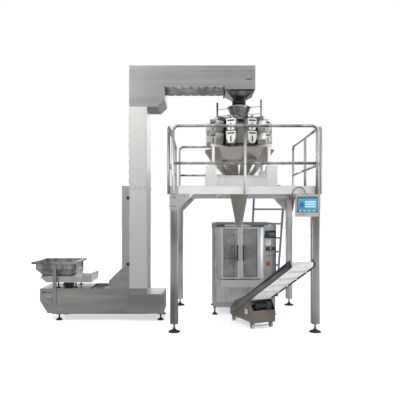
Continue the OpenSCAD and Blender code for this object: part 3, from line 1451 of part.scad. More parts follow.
// A straight run of film between two rollers, touching both on its outer side
module film_run(ya, za, ra, yb, zb, rb) {
    d = sqrt((yb - ya) * (yb - ya) + (zb - za) * (zb - za));
    n = atan2(zb - za, yb - ya) - 90 + asin((ra - rb) / d);
    long = sqrt(d * d - (ra - rb) * (ra - rb));
    translate([-film_w / 2, ya + ra * cos(n), za + ra * sin(n)]) rotate([n + 90, 0, 0])
        translate([0, 0.1, -0.6]) cube([film_w, long - 0.2, 0.6]);
}

module film_web() {
    y = bag_y1 + 40;
    top = bag_h - 25;
    r = 14.6;
    color([0.90, 0.92, 0.94]) {
        film_run(roll_y, roll_z, roll_r + 0.6, y, 880, r);
        film_run(y, 880, r, y, 1240, r);
        film_run(y, 1240, r, bag_y1 - 40, top - 22, r);
        film_run(bag_y1 - 40, top - 22, r, bag_y0 + 26, top - 30, r);
        film_run(bag_y0 + 26, top - 30, r, tube_r + 66, part_top - 32, 0.1);
        // Film formed round the tube
        translate([0, 0, jaw_z + 62]) difference() {
            cylinder(r = tube_r + 1.6, h = 1086 - jaw_z);
            translate([0, 0, -1]) cylinder(r = tube_r + 0.6, h = 1200);
        }
    }
}

module dancer_arm() {
    y = bag_y1 + 40;
    color([0.75, 0.76, 0.77]) {
        for (s = [-1, 1]) xbox(s, film_w / 2 + 8, film_w / 2 + 14, y - 12, y + 12, 964, 1114);
        rod_x(-film_w / 2 - 8 + seam, film_w / 2 + 8 - seam, y, 980, 14);
        rod_x(-film_w / 2 - 38.7, film_w / 2 + 38.7, y, 1100, 8);
    }
}

// Conveyor, drawn along its own run
module conveyor_frame() {
    translate([conv_x, conv_y, 0]) rotate([0, 0, conv_turn]) children();
}

// Level frame of the sloping bed: X runs up the slope from the tail roller
module bed_frame() {
    translate([tail_at, 0, tail_up]) rotate([0, -conv_slope, 0]) children();
}

module conveyor_base() {
    w = conv_w / 2 + seat_gap;
    color([0.46, 0.43, 0.40]) conveyor_frame() {
        for (s = [-1, 1]) difference() {
            xz_plate(s > 0 ? w : -w - 4, s > 0 ? w + 4 : -w)
                polygon([[-base_half, base_z0 + 1], [base_half, base_z0 + 1],
                [base_half, 250], [200, 420], [150, 430], [-200, 300], [-base_half, 170]]);
            rod_y(tail_at, -300, 300, tail_up, 24);
        }
        box(-base_half, -base_half + 4, -w + seam, w - seam, base_z0 + 5, 112);
        box(base_half - 4, base_half, -w + seam, w - seam, base_z0 + 5, 246);
        box(-base_half, base_half, -w + seam, w - seam, base_z0 + 1, base_z0 + 5 - seam);
        // Handle on the near side plate
        box(150, 210, -w - 10, -w - 4 - seam, 190, 240);
        // Gearmotor shelf
        box(base_half - 140, base_half - 4 - seam, -w + seam, w - seam, 227, 232 - seam);
        // Forks of the wheels
        for (x = [-wheel_at, wheel_at]) for (s = [-1, 1]) {
            y = s * 140;
            box(x - 28, x + 28, y - 26, y + 26, wheel_r * 2 + 5, base_z0 + 1 - seam);
            for (e = [-1, 1]) difference() {
                box(x - 16, x + 16, e > 0 ? y + 21 : y - 24, e > 0 ? y + 24 : y - 21, wheel_r - 16,
                    wheel_r * 2 + 5 - seam);
                rod_y(x, y - 40, y + 40, wheel_r, 7);
            }
        }
    }
}

module conveyor_bed() {
    w = conv_w / 2;
    h = bed_h / 2;
    color([0.30, 0.31, 0.32]) conveyor_frame() bed_frame() {
        for (s = [-1, 1]) {
            difference() {
                ybox(-42, conv_len + 42, s, w - 4, w, -h, h);
                for (x = [0, conv_len]) rod_y(x, -200, 200, 0, 11);
            }
            // Lips along the side plates
            ybox(-42, conv_len + 42, s, w - 14, w - 4 - seam, h - 3, h);
        }
        box(50, conv_len - 50, -w + 4 + seam, w - 4 - seam, roller_r - 6, roller_r - run_gap);
        for (i = [0:4]) box(130 + i * 0.2 * conv_len - 12, 130 + i * 0.2 * conv_len + 12,
            -w + 4 + seam, w - 4 - seam, -10, roller_r - 6 - seam);
    }
}

module conveyor_belt() {
    b = belt_w / 2;
    r = roller_r + seat_gap;
    count = floor(conv_len / 200);
    color([0.90, 0.91, 0.90]) conveyor_frame() bed_frame() {
        for (s = [-1, 1]) box(0, conv_len, -b, b, s > 0 ? r : -r - belt_t, s > 0 ? r + belt_t : -r);
        for (x = [0, conv_len]) translate([x, 0, 0]) rotate([90, 0, 0]) translate([0, 0, -b])
            linear_extrude(2 * b) difference() {
            circle(r = r + belt_t);
            circle(r = r);
            translate([x == 0 ? -seam : seam - 100, -50]) square([100, 100]);
        }
        for (i = [0:count - 1]) for (s = [-1, 1])
            box((i + 0.5) * conv_len / count - 2, (i + 0.5) * conv_len / count + 2, -b + 12, b - 12,
                s > 0 ? r + belt_t + seam : -r - belt_t - 24, s > 0 ? r + belt_t + 24 : -r - belt_t - seam);
    }
}

module conveyor_roller(x) {
    b = conv_w / 2;
    color([0.55, 0.56, 0.58]) conveyor_frame() bed_frame() {
        rod_y(x, -b + 8, b - 8, 0, roller_r);
        for (s = [-1, 1]) rod_y(x, s > 0 ? b - 8 + seam : -b - 14, s > 0 ? b + 14 : 8 - b - seam, 0, 10);
        for (s = [-1, 1]) difference() {
            rod_y(x, s > 0 ? b + 0.6 : -b - 12, s > 0 ? b + 12 : -b - 0.6, 0, 19);
            rod_y(x, -b - 20, b + 20, 0, 10 + seam);
        }
    }
}

module head_roller() {
    conveyor_roller(conv_len);
}

module tail_roller() {
    conveyor_roller(0);
}

module wheel_pair(x) {
    color([0.30, 0.30, 0.31]) conveyor_frame() {
        rod_y(x, -172, 172, wheel_r, 6);
        for (s = [-1, 1]) difference() {
            rod_y(x, s * 140 - 14, s * 140 + 14, wheel_r, wheel_r);
            rod_y(x, s * 140 - 20, s * 140 + 20, wheel_r, 6 + seam);
        }
    }
}

module front_wheels() {
    wheel_pair(wheel_at);
}

module rear_wheels() {
    wheel_pair(-wheel_at);
}

// Drawing
platform_legs();
platform_beams();
platform_deck();
guard_rails();
access_ladder();
levelling_feet();
elevator_boot();
elevator_column();
elevator_head();
ribbed_covers();
elevator_door();
bucket_chain();
drive_shaft();
tail_shaft();
head_shaft();
drive_motors();
drive_guard();
infeed_hopper();
hopper_gate();
feeder_tray();
feeder_vibrator();
discharge_spout();
weigher_base();
weigher_body();
feeder_pans();
top_cone();
infeed_funnel();
feed_hoppers();
weigh_hoppers();
discharge_chutes();
collecting_funnel();
operator_panel();
panel_cable();
bagger_frame();
bagger_cabinet();
control_panel();
left_door();
right_door();
left_window();
right_window();
exit_chute();
emergency_stop();
main_switch();
forming_tube();
forming_collar();
pull_belt_left();
pull_belt_right();
vertical_sealer();
front_jaw();
rear_jaw();
film_roll();
film_web();
dancer_arm();
conveyor_base();
conveyor_bed();
conveyor_belt();
head_roller();
tail_roller();
front_wheels();
rear_wheels();
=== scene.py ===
"""Looks of a vertical form fill seal packing line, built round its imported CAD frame."""

from __future__ import annotations

import json
import logging
import math
from dataclasses import dataclass, field
from enum import Enum
from typing import Callable, Iterable, Sequence

import bmesh
import bpy
from mathutils import Matrix, Vector

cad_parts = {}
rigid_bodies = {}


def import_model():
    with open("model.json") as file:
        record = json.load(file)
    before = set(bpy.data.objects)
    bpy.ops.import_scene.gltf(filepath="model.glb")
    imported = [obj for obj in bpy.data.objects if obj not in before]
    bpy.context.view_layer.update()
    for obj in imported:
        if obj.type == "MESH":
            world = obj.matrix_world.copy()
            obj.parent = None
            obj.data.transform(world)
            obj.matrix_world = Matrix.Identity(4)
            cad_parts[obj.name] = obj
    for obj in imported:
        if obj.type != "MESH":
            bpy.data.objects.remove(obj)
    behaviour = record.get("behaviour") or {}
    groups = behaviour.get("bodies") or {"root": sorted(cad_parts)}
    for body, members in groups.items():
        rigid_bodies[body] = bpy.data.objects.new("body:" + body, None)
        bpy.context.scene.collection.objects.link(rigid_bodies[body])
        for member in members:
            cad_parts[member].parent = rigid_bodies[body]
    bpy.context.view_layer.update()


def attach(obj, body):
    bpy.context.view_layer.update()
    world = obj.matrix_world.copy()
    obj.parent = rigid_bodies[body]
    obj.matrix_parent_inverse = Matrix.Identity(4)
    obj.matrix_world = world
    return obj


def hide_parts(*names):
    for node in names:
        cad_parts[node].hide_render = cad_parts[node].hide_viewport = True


LOG = logging.getLogger("packing_line")
MM = 0.001
ROOT = "line"
SIDES = (-1, 1)
UP = (0, 0, 1)
FAR = 9999.0
CREASE = math.radians(38)
BUMP_STRENGTH = 0.6
EMBOSS_COVER = 0.35
Point = Sequence[float]


# Materials


class Signal:
    """One value or colour inside a material; arithmetic on it adds Math nodes."""

    def __init__(self, shader: "Shader", socket: bpy.types.NodeSocket) -> None:
        """Keep the material and the socket that the value comes out of."""
        self.shader = shader
        self.socket = socket

    def _math(self, operation: str, first: "Signal | float", second: "Signal | float" = 0.0) -> "Signal":
        """Add one Math node.

        Args:
            operation: Name of the Math node's operation.
            first: First operand.
            second: Second operand.

        Returns:
            The node's result.
        """
        return self.shader.node("ShaderNodeMath", {"operation": operation}, {0: first, 1: second})

    def __add__(self, other: "Signal | float") -> "Signal":
        """Add."""
        return self._math("ADD", self, other)

    def __radd__(self, other: float) -> "Signal":
        """Add from the left."""
        return self._math("ADD", other, self)

    def __sub__(self, other: "Signal | float") -> "Signal":
        """Subtract."""
        return self._math("SUBTRACT", self, other)

    def __rsub__(self, other: float) -> "Signal":
        """Subtract from a number."""
        return self._math("SUBTRACT", other, self)

    def __mul__(self, other: "Signal | float") -> "Signal":
        """Multiply."""
        return self._math("MULTIPLY", self, other)

    def __rmul__(self, other: float) -> "Signal":
        """Multiply from the left."""
        return self._math("MULTIPLY", other, self)

    def __truediv__(self, other: "Signal | float") -> "Signal":
        """Divide."""
        return self._math("DIVIDE", self, other)

    def __gt__(self, other: "Signal | float") -> "Signal":
        """One where this is greater, nought elsewhere."""
        return self._math("GREATER_THAN", self, other)

    def __lt__(self, other: "Signal | float") -> "Signal":
        """One where this is less, nought elsewhere."""
        return self._math("LESS_THAN", self, other)

    def power(self, exponent: float) -> "Signal":
        """Raise to a power."""
        return self._math("POWER", self, exponent)

    def wrapped(self, pitch: float) -> "Signal":
        """Remainder after division by a pitch, never negative."""
        return self.shader.node("ShaderNodeMath", {"operation": "WRAP"}, {0: self, 1: pitch, 2: 0.0})

    def size(self) -> "Signal":
        """Absolute value."""
        return self._math("ABSOLUTE", self)

    def steps(self, low: float, high: float) -> "Signal":
        """Smooth rise from nought at low to one at high."""
        return self.shader.node(
            "ShaderNodeMapRange",
            {"interpolation_type": "SMOOTHSTEP"},
            {"Value": self, "From Min": low, "From Max": high, "To Min": 0.0, "To Max": 1.0},
        )


Colour = tuple[float, float, float]


class Shader:
    """A node material under construction."""

    def __init__(self, name: str) -> None:
        """Start an empty material with this name."""
        self.material = bpy.data.materials.new(name)
        self.material.use_nodes = True
        self.tree = self.material.node_tree
        self.tree.nodes.clear()
        self._where: Signal | None = None

    def node(
        self,
        kind: str,
        settings: dict[str, object] | None = None,
        sockets: dict[int | str, object] | None = None,
        out: int | str = 0,
    ) -> Signal:
        """Add one node.

        Args:
            kind: Blender's type name of the node.
            settings: Properties set before the sockets; "stops" fills a colour ramp.
            sockets: Values or links by socket name or number.
            out: Which output to return.

        Returns:
            The chosen output.
        """
        made = self.tree.nodes.new(kind)
        for key, value in (settings or {}).items():
            if key == "stops":
                ramp = made.color_ramp.elements
                while len(ramp) < len(value):
                    ramp.new(0.5)
                for element, (place, colour) in zip(ramp, value):
                    element.position = place
                    element.color = (*colour, 1.0)
            else:
                setattr(made, key, value)
        for key, value in (sockets or {}).items():
            socket = made.inputs[key]
            if isinstance(value, Signal):
                self.tree.links.new(value.socket, socket)
            elif isinstance(value, tuple) and socket.type == "RGBA":
                socket.default_value = (*value, 1.0)
            else:
                socket.default_value = value
        return Signal(self, made.outputs[out] if made.outputs else made.inputs[0])

    def where(self) -> Signal:
        """Object coordinates."""
        if self._where is None:
            self._where = self.node("ShaderNodeTexCoord", out="Object")
        return self._where

    def axis(self, name: str) -> Signal:
        """One of the coordinates X, Y or Z in metres."""
        return self.node("ShaderNodeSeparateXYZ", sockets={0: self.where()}, out=name)

    def noise(self, stretch: Point, detail: float = 2.0, rough: float = 0.5) -> Signal:
        """Noise whose cells repeat so many times a metre along each axis.

        Args:
            stretch: Cells a metre along X, Y and Z.
            detail: Octaves of finer noise.
            rough: Strength of the finer noise.

        Returns:
            A value about one half.
        """
        placed = self.node("ShaderNodeMapping", sockets={"Vector": self.where(), "Scale": tuple(stretch)})
        return self.node(
            "ShaderNodeTexNoise",
            sockets={"Vector": placed, "Scale": 1.0, "Detail": detail, "Roughness": rough},
        )

    def cells(self, stretch: Point) -> Signal:
        """Distance to the nearest of scattered points."""
        placed = self.node("ShaderNodeMapping", sockets={"Vector": self.where(), "Scale": tuple(stretch)})
        return self.node("ShaderNodeTexVoronoi", sockets={"Vector": placed, "Scale": 1.0}, out="Distance")

    def mix(self, amount: Signal | float, first: "Signal | Colour", second: "Signal | Colour") -> Signal:
        """Blend two colours by a value from nought to one."""
        return self.node("ShaderNodeMix", {"data_type": "RGBA"}, {0: amount, 6: first, 7: second}, out=2)

    def inside(self, low: Point, high: Point) -> Signal:
        """One inside a box given in millimetres, nought outside."""
        mask: Signal | None = None
        for name, a, b in zip("XYZ", low, high):
            here = self.axis(name)
            for test in ([here > a * MM] if a > -FAR else []) + ([here < b * MM] if b < FAR else []):
                mask = test if mask is None else mask * test
        assert mask is not None
        return mask


@dataclass
class Coat:
    """What a finish gives at each point of a surface."""

    colour: Signal
    roughness: Signal
    metallic: Signal | float
    height: Signal


class Grain(Enum):
    """Direction in which a sheet is brushed or drawn."""

    X = (3.0, 260.0, 260.0)
    Z = (260.0, 260.0, 3.0)
    NONE = (120.0, 120.0, 120.0)


@dataclass(frozen=True)
class Finish:
    """A surface finish that any piece can take."""

    name: str
    light: Colour
    dark: Colour
    rough: float = 0.4
    spread: float = 0.2
    metal: float = 0.0
    relief: float = 0.0004
    coat: float = 0.0
    alpha: float = 1.0

    def layer(self, shader: Shader) -> Coat:
        """Colour, roughness, metal and height of the bare finish.

        Args:
            shader: The material being built.

        Returns:
            The finish at each point.
        """
        wide = shader.noise((2.4, 2.4, 2.4), 3.0, 0.55)
        fine = shader.noise((160.0, 160.0, 160.0), 2.0)
        tone = wide.steps(0.3, 0.7) * 0.7 + fine * 0.3
        return Coat(
            shader.mix(tone, self.dark, self.light),
            (fine - 0.5) * self.spread + self.rough,
            self.metal,
            fine,
        )

    def material(self) -> bpy.types.Material:
        """The Blender material, made once.

        Returns:
            The material of this finish.
        """
        known = bpy.data.materials.get(self.name)
        if known:
            return known
        shader = Shader(self.name)
        coat = self.layer(shader)
        bump = shader.node(
            "ShaderNodeBump",
            sockets={"Height": coat.height, "Distance": self.relief, "Strength": BUMP_STRENGTH},
        )
        sockets: dict[int | str, object] = {
            "Base Color": coat.colour,
            "Roughness": coat.roughness,
            "Metallic": coat.metallic,
            "Normal": bump,
            "Coat Weight": self.coat,
            "Alpha": self.alpha,
        }
        sockets.update(self.extra(shader))
        surface = shader.node("ShaderNodeBsdfPrincipled", sockets=sockets)
        shader.node("ShaderNodeOutputMaterial", sockets={"Surface": surface})
        return shader.material

    def extra(self, shader: Shader) -> dict[int | str, object]:
        """Further sockets of the shader; none on a plain finish."""
        return {}


@dataclass(frozen=True)
class BrushedSteel(Finish):
    """Stainless sheet with long brushing lines and broad soft reflections painted into its colour."""

    grain: Grain = Grain.Z
    metal: float = 1.0
    rough: float = 0.32
    # contrast widens the painted reflection streaks and the grain together
    contrast: float = 1.0

    def layer(self, shader: Shader) -> Coat:
        """Brushed metal: fine lines along the grain over broad bands and clouds of painted reflection."""
        lines = shader.noise(self.grain.value, 3.0, 0.6)
        # The bands and the broad cloud noise are painted reflection, light and dark streaks put into the
        # colour; lines are the brushing grain
        bands = shader.noise(tuple(v * 0.028 + 0.35 for v in self.grain.value), 2.0, 0.5)
        reflection_cloud = shader.noise((1.1, 1.1, 0.9), 2.0, 0.5)
        smear = shader.noise((9.0, 9.0, 7.0), 4.0, 0.6)
        tone = bands.steps(0.32, 0.68) * 0.45 + lines * 0.2 + reflection_cloud.steps(0.3, 0.7) * 0.35
        tone = (tone - 0.5) * self.contrast + 0.5
        return Coat(
            shader.mix(tone, self.dark, self.light),
            (lines - 0.5) * self.spread + (smear - 0.5) * 0.12 + self.rough,
            self.metal,
            lines,
        )


@dataclass(frozen=True)
class EmbossedSteel(BrushedSteel):
    """Stainless sheet pressed with small raised dots that keep product from sticking."""

    pitch: float = 11.0

    def layer(self, shader: Shader) -> Coat:
        """Brushed metal with dots."""
        coat = super().layer(shader)
        scale = 1000.0 / self.pitch
        dots = 1.0 - shader.cells((scale, scale, scale)).steps(0.12, 0.42)
        coat.colour = shader.mix(dots * EMBOSS_COVER, coat.colour, self.light)
        coat.height = coat.height * 0.2 + dots
        return coat


@dataclass(frozen=True)
class TreadPlate(BrushedSteel):
    """Walking plate with raised bars that cross each other."""

    pitch: float = 38.0

    def layer(self, shader: Shader) -> Coat:
        """Brushed metal with slanted bars."""
        coat = super().layer(shader)
        x, y = shader.axis("X"), shader.axis("Y")
        bars: Signal | None = None
        for way in (1.0, -1.0):
            across = (x + y * way).wrapped(self.pitch * MM) - self.pitch * MM / 2
            along = (x - y * way).wrapped(self.pitch * MM) - self.pitch * MM / 2
            bar = (1.0 - across.size().steps(0.002, 0.0035)) * (1.0 - along.size().steps(0.011, 0.014))
            bars = bar if bars is None else bars + bar * 0.8
        assert bars is not None
        coat.height = coat.height * 0.1 + bars
        coat.colour = shader.mix(bars * 0.5, coat.colour, self.light)
        return coat


@dataclass(frozen=True)
class Belting(Finish):
    """White belt with a fine woven print and scuffs along its run."""

    def layer(self, shader: Shader) -> Coat:
        """Woven belt with scuffs."""
        weave = shader.noise((420.0, 420.0, 420.0), 1.0)
        scuff = shader.noise((30.0, 6.0, 16.0), 4.0, 0.65).steps(0.5, 0.72)
        return Coat(shader.mix(scuff * 0.8, self.light, self.dark), weave * 0.15 + self.rough, 0.0, weave)


@dataclass(frozen=True)
class ClearSheet(Finish):
    """Clear acrylic with a faint tint and light scratches."""

    rough: float = 0.06

    def layer(self, shader: Shader) -> Coat:
        """Tinted sheet with scratches."""
        haze = shader.noise((1.6, 2.0, 3.0), 3.0, 0.6).steps(0.35, 0.7)
        scratch = shader.noise((40.0, 40.0, 400.0), 2.0).steps(0.66, 0.7)
        return Coat(shader.mix(haze, self.dark, self.light), scratch * 0.2 + self.rough, 0.0, scratch)

    def extra(self, shader: Shader) -> dict[int | str, object]:
        """Cloudy transparency."""
        haze = shader.noise((1.9, 2.0, 2.4), 3.0, 0.6).steps(0.3, 0.75)
        return {"Alpha": haze * 0.22 + self.alpha}


@dataclass(frozen=True)
class WoundFilm(Finish):
    """Packing film wound on a roll: rings on its ends, faint bands across."""

    centre: tuple[float, float] = (1.122, 0.520)

    def layer(self, shader: Shader) -> Coat:
        """Film with rings about the roll's axis."""
        y, z = shader.axis("Y") - self.centre[0], shader.axis("Z") - self.centre[1]
        reach = (y * y + z * z).power(0.5)
        rings = shader.node(
            "ShaderNodeTexNoise",
            {"noise_dimensions": "1D"},
            {"W": reach * 900.0, "Scale": 1.0, "Detail": 2.0},
        )
        core = 1.0 - reach.steps(0.040, 0.043)
        colour = shader.mix(rings.steps(0.3, 0.7), self.dark, self.light)
        return Coat(shader.mix(core, colour, (0.42, 0.30, 0.19)), rings * 0.2 + self.rough, 0.0, rings)


@dataclass(frozen=True)
class Zone:
    """Part of a piece, inside a box in millimetres, that has another finish."""

    low: tuple[float, float, float]
    high: tuple[float, float, float]
    finish: Finish


@dataclass(frozen=True)
class ZonedFinish(Finish):
    """A finish with other finishes in stated places."""

    light: Colour = (1.0, 1.0, 1.0)
    dark: Colour = (0.0, 0.0, 0.0)
    base: Finish | None = None
    zones: tuple[Zone, ...] = ()

    def layer(self, shader: Shader) -> Coat:
        """The base finish, with each zone's finish where the zone is."""
        assert self.base is not None
        coat = self.base.layer(shader)
        for zone in self.zones:
            mask = shader.inside(zone.low, zone.high)
            other = zone.finish.layer(shader)
            coat = Coat(
                shader.mix(mask, coat.colour, other.colour),
                coat.roughness * (1.0 - mask) + other.roughness * mask,
                (1.0 - mask) * coat.metallic + mask * other.metallic,
                coat.height * (1.0 - mask) + other.height * mask,
            )
        return coat


@dataclass(frozen=True)
class PanelPicture(Finish):
    """A lit screen that shows plain blocks of colour, with no writing."""

    low: tuple[float, float] = (0.0, 0.0)
    high: tuple[float, float] = (1.0, 1.0)
    accent: Colour = (0.05, 0.20, 0.35)
    glow: float = 0.35

    def picture(self, shader: Shader) -> Signal:
        """Blocks laid out over the screen.

        Args:
            shader: The material being built.

        Returns:
            The picture's colour.
        """
        u = (shader.axis("X") - self.low[0] * MM) / ((self.high[0] - self.low[0]) * MM)
        v = (shader.axis("Z") - self.low[1] * MM) / ((self.high[1] - self.low[1]) * MM)
        wash = shader.noise((5.0, 5.0, 5.0), 2.0).steps(0.3, 0.7)
        picture = shader.mix(wash * 0.5 + v * 0.3, self.dark, self.light)
        for left, right, bottom, top, colour in self.blocks():
            mask = (u > left) * (u < right) * (v > bottom) * (v < top)
            picture = shader.mix(mask, picture, colour)
        return picture

    def blocks(self) -> list[tuple[float, float, float, float, Colour]]:
        """Left, right, bottom, top and colour of each block, as shares of the screen."""
        pale = tuple(min(1.0, c * 1.5 + 0.12) for c in self.light)
        rows = [(0.0, 1.0, 0.88, 1.0, self.accent), (0.0, 1.0, 0.0, 0.12, self.accent)]
        rows += [(0.38, 0.92, 0.30 + 0.16 * i, 0.40 + 0.16 * i, pale) for i in range(3)]
        rows += [(0.10, 0.32, 0.30, 0.58, self.accent), (0.16, 0.26, 0.58, 0.70, self.accent)]
        rows += [(0.06 + 0.23 * i, 0.24 + 0.23 * i, 0.03, 0.09, pale) for i in range(4)]
        return rows

    def layer(self, shader: Shader) -> Coat:
        """The picture under glass."""
        smudge = shader.noise((30.0, 30.0, 30.0), 3.0)
        return Coat(self.picture(shader), smudge * 0.12 + self.rough, 0.0, smudge)

    def extra(self, shader: Shader) -> dict[int | str, object]:
        """A faint glow of the same picture."""
        return {"Emission Color": self.picture(shader), "Emission Strength": self.glow}


@dataclass(frozen=True)
class Palette:
    """The finishes of this line."""

    # Light and dark of each brushed steel are the two ends of its painted reflection streaks and grain
    legs: Finish = BrushedSteel("leg_steel", (0.98, 0.97, 0.95), (0.30, 0.29, 0.28), contrast=1.7)
    beams: Finish = BrushedSteel(
        "beam_steel", (0.94, 0.94, 0.94), (0.76, 0.77, 0.77), grain=Grain.X, metal=0.5
    )
    corner: Finish = BrushedSteel("corner_steel", (0.92, 0.92, 0.91), (0.58, 0.58, 0.58), grain=Grain.NONE)
    deck: Finish = TreadPlate(
        "deck_plate", (0.86, 0.86, 0.86), (0.48, 0.49, 0.49), grain=Grain.X, relief=0.0018
    )
    rails: Finish = BrushedSteel(
        "rail_steel", (0.84, 0.83, 0.81), (0.20, 0.20, 0.20), rough=0.2, contrast=1.5
    )
    ladder: Finish = BrushedSteel("ladder_steel", (0.34, 0.33, 0.32), (0.10, 0.10, 0.10), grain=Grain.X)
    rubber: Finish = Finish("black_rubber", (0.035, 0.035, 0.037), (0.012, 0.012, 0.013), rough=0.72)
    casing: Finish = BrushedSteel("casing_steel", (0.66, 0.66, 0.645), (0.44, 0.44, 0.43), rough=0.36)
    arm: Finish = BrushedSteel(
        "arm_steel", (0.48, 0.48, 0.47), (0.30, 0.30, 0.295), rough=0.34, grain=Grain.X
    )
    boot: Finish = BrushedSteel("boot_steel", (0.70, 0.685, 0.66), (0.34, 0.33, 0.32), grain=Grain.X)
    cover: Finish = BrushedSteel(
        "cover_steel", (0.86, 0.86, 0.84), (0.34, 0.34, 0.33), rough=0.34, contrast=1.5
    )
    bright: Finish = BrushedSteel("bright_steel", (0.94, 0.94, 0.94), (0.62, 0.63, 0.64), rough=0.26)
    white_box: Finish = BrushedSteel(
        "box_steel", (0.98, 0.98, 0.98), (0.84, 0.85, 0.86), rough=0.42, metal=0.35
    )
    machined: Finish = BrushedSteel(
        "machined_steel", (0.62, 0.62, 0.63), (0.26, 0.26, 0.27), grain=Grain.NONE
    )
    embossed: Finish = EmbossedSteel(
        "embossed_steel", (0.62, 0.63, 0.61), (0.14, 0.15, 0.14), relief=0.0009, contrast=2.0
    )
    # Hopper steel far darker than the other stainless: painted shade on the weigher's hoppers
    facets_painted_shade: Finish = EmbossedSteel(
        "hopper_steel", (0.33, 0.385, 0.36), (0.045, 0.05, 0.045), relief=0.0009, contrast=2.4
    )
    chute: Finish = EmbossedSteel(
        "chute_steel", (0.38, 0.35, 0.325), (0.08, 0.07, 0.06), relief=0.0007, contrast=2.0
    )
    drum: Finish = BrushedSteel("drum_steel", (0.26, 0.255, 0.24), (0.03, 0.03, 0.03), contrast=2.2)
    base: Finish = BrushedSteel("base_steel", (0.52, 0.475, 0.43), (0.17, 0.145, 0.12), grain=Grain.NONE)
    cabinet: Finish = BrushedSteel("cabinet_steel", (0.74, 0.75, 0.76), (0.22, 0.23, 0.24), contrast=1.6)
    dark_paint: Finish = Finish("dark_paint", (0.075, 0.080, 0.088), (0.030, 0.032, 0.036), rough=0.42)
    frame_paint: Finish = Finish("frame_paint", (0.15, 0.155, 0.16), (0.06, 0.062, 0.066), rough=0.45)
    motor: Finish = Finish("motor_enamel", (0.055, 0.060, 0.068), (0.020, 0.022, 0.026), rough=0.5)
    blue_cap: Finish = Finish("blue_moulding", (0.035, 0.075, 0.13), (0.015, 0.03, 0.06), rough=0.4)
    white_plastic: Finish = Finish(
        "white_moulding", (0.90, 0.90, 0.89), (0.74, 0.74, 0.73), rough=0.38, coat=0.2
    )
    white_collar: Finish = Finish("collar_sheet", (0.93, 0.93, 0.92), (0.78, 0.79, 0.80), rough=0.3, coat=0.3)
    red: Finish = Finish("red_moulding", (0.62, 0.045, 0.02), (0.36, 0.02, 0.012), rough=0.3, coat=0.4)
    orange: Finish = Finish("orange_plate", (0.62, 0.20, 0.035), (0.34, 0.10, 0.02), rough=0.4)
    label: Finish = Finish("pale_plate", (0.93, 0.90, 0.86), (0.80, 0.76, 0.70), rough=0.5)
    green: Finish = Finish("green_moulding", (0.03, 0.34, 0.10), (0.015, 0.18, 0.05), rough=0.3, coat=0.4)
    belt: Finish = Belting("belt_white", (0.66, 0.66, 0.65), (0.44, 0.44, 0.42), rough=0.5)
    bed: Finish = Finish("bed_paint", (0.15, 0.15, 0.16), (0.05, 0.05, 0.055), rough=0.34, coat=0.2)
    tyre: Finish = Finish("grey_tyre", (0.46, 0.46, 0.46), (0.26, 0.26, 0.26), rough=0.6)
    bucket: Finish = Finish("bucket_white", (0.84, 0.85, 0.86), (0.66, 0.67, 0.68), rough=0.45)
    sheath: Finish = Finish("cable_sheath", (0.028, 0.028, 0.030), (0.010, 0.010, 0.011), rough=0.5)
    window: Finish = ClearSheet("window_sheet", (0.44, 0.46, 0.48), (0.16, 0.17, 0.18), alpha=0.17)
    roll: Finish = WoundFilm("wound_film", (0.93, 0.94, 0.96), (0.72, 0.74, 0.78), rough=0.22, coat=0.3)
    film: Finish = Finish(
        "film_sheet", (0.94, 0.95, 0.97), (0.80, 0.82, 0.86), rough=0.2, coat=0.4, alpha=0.82
    )
    glass_black: Finish = Finish(
        "dark_glass", (0.020, 0.022, 0.026), (0.008, 0.009, 0.011), rough=0.14, coat=0.5
    )
    meter: Finish = Finish("meter_face", (0.020, 0.045, 0.10), (0.008, 0.018, 0.045), rough=0.2, coat=0.5)


USE = Palette()


# Modelling


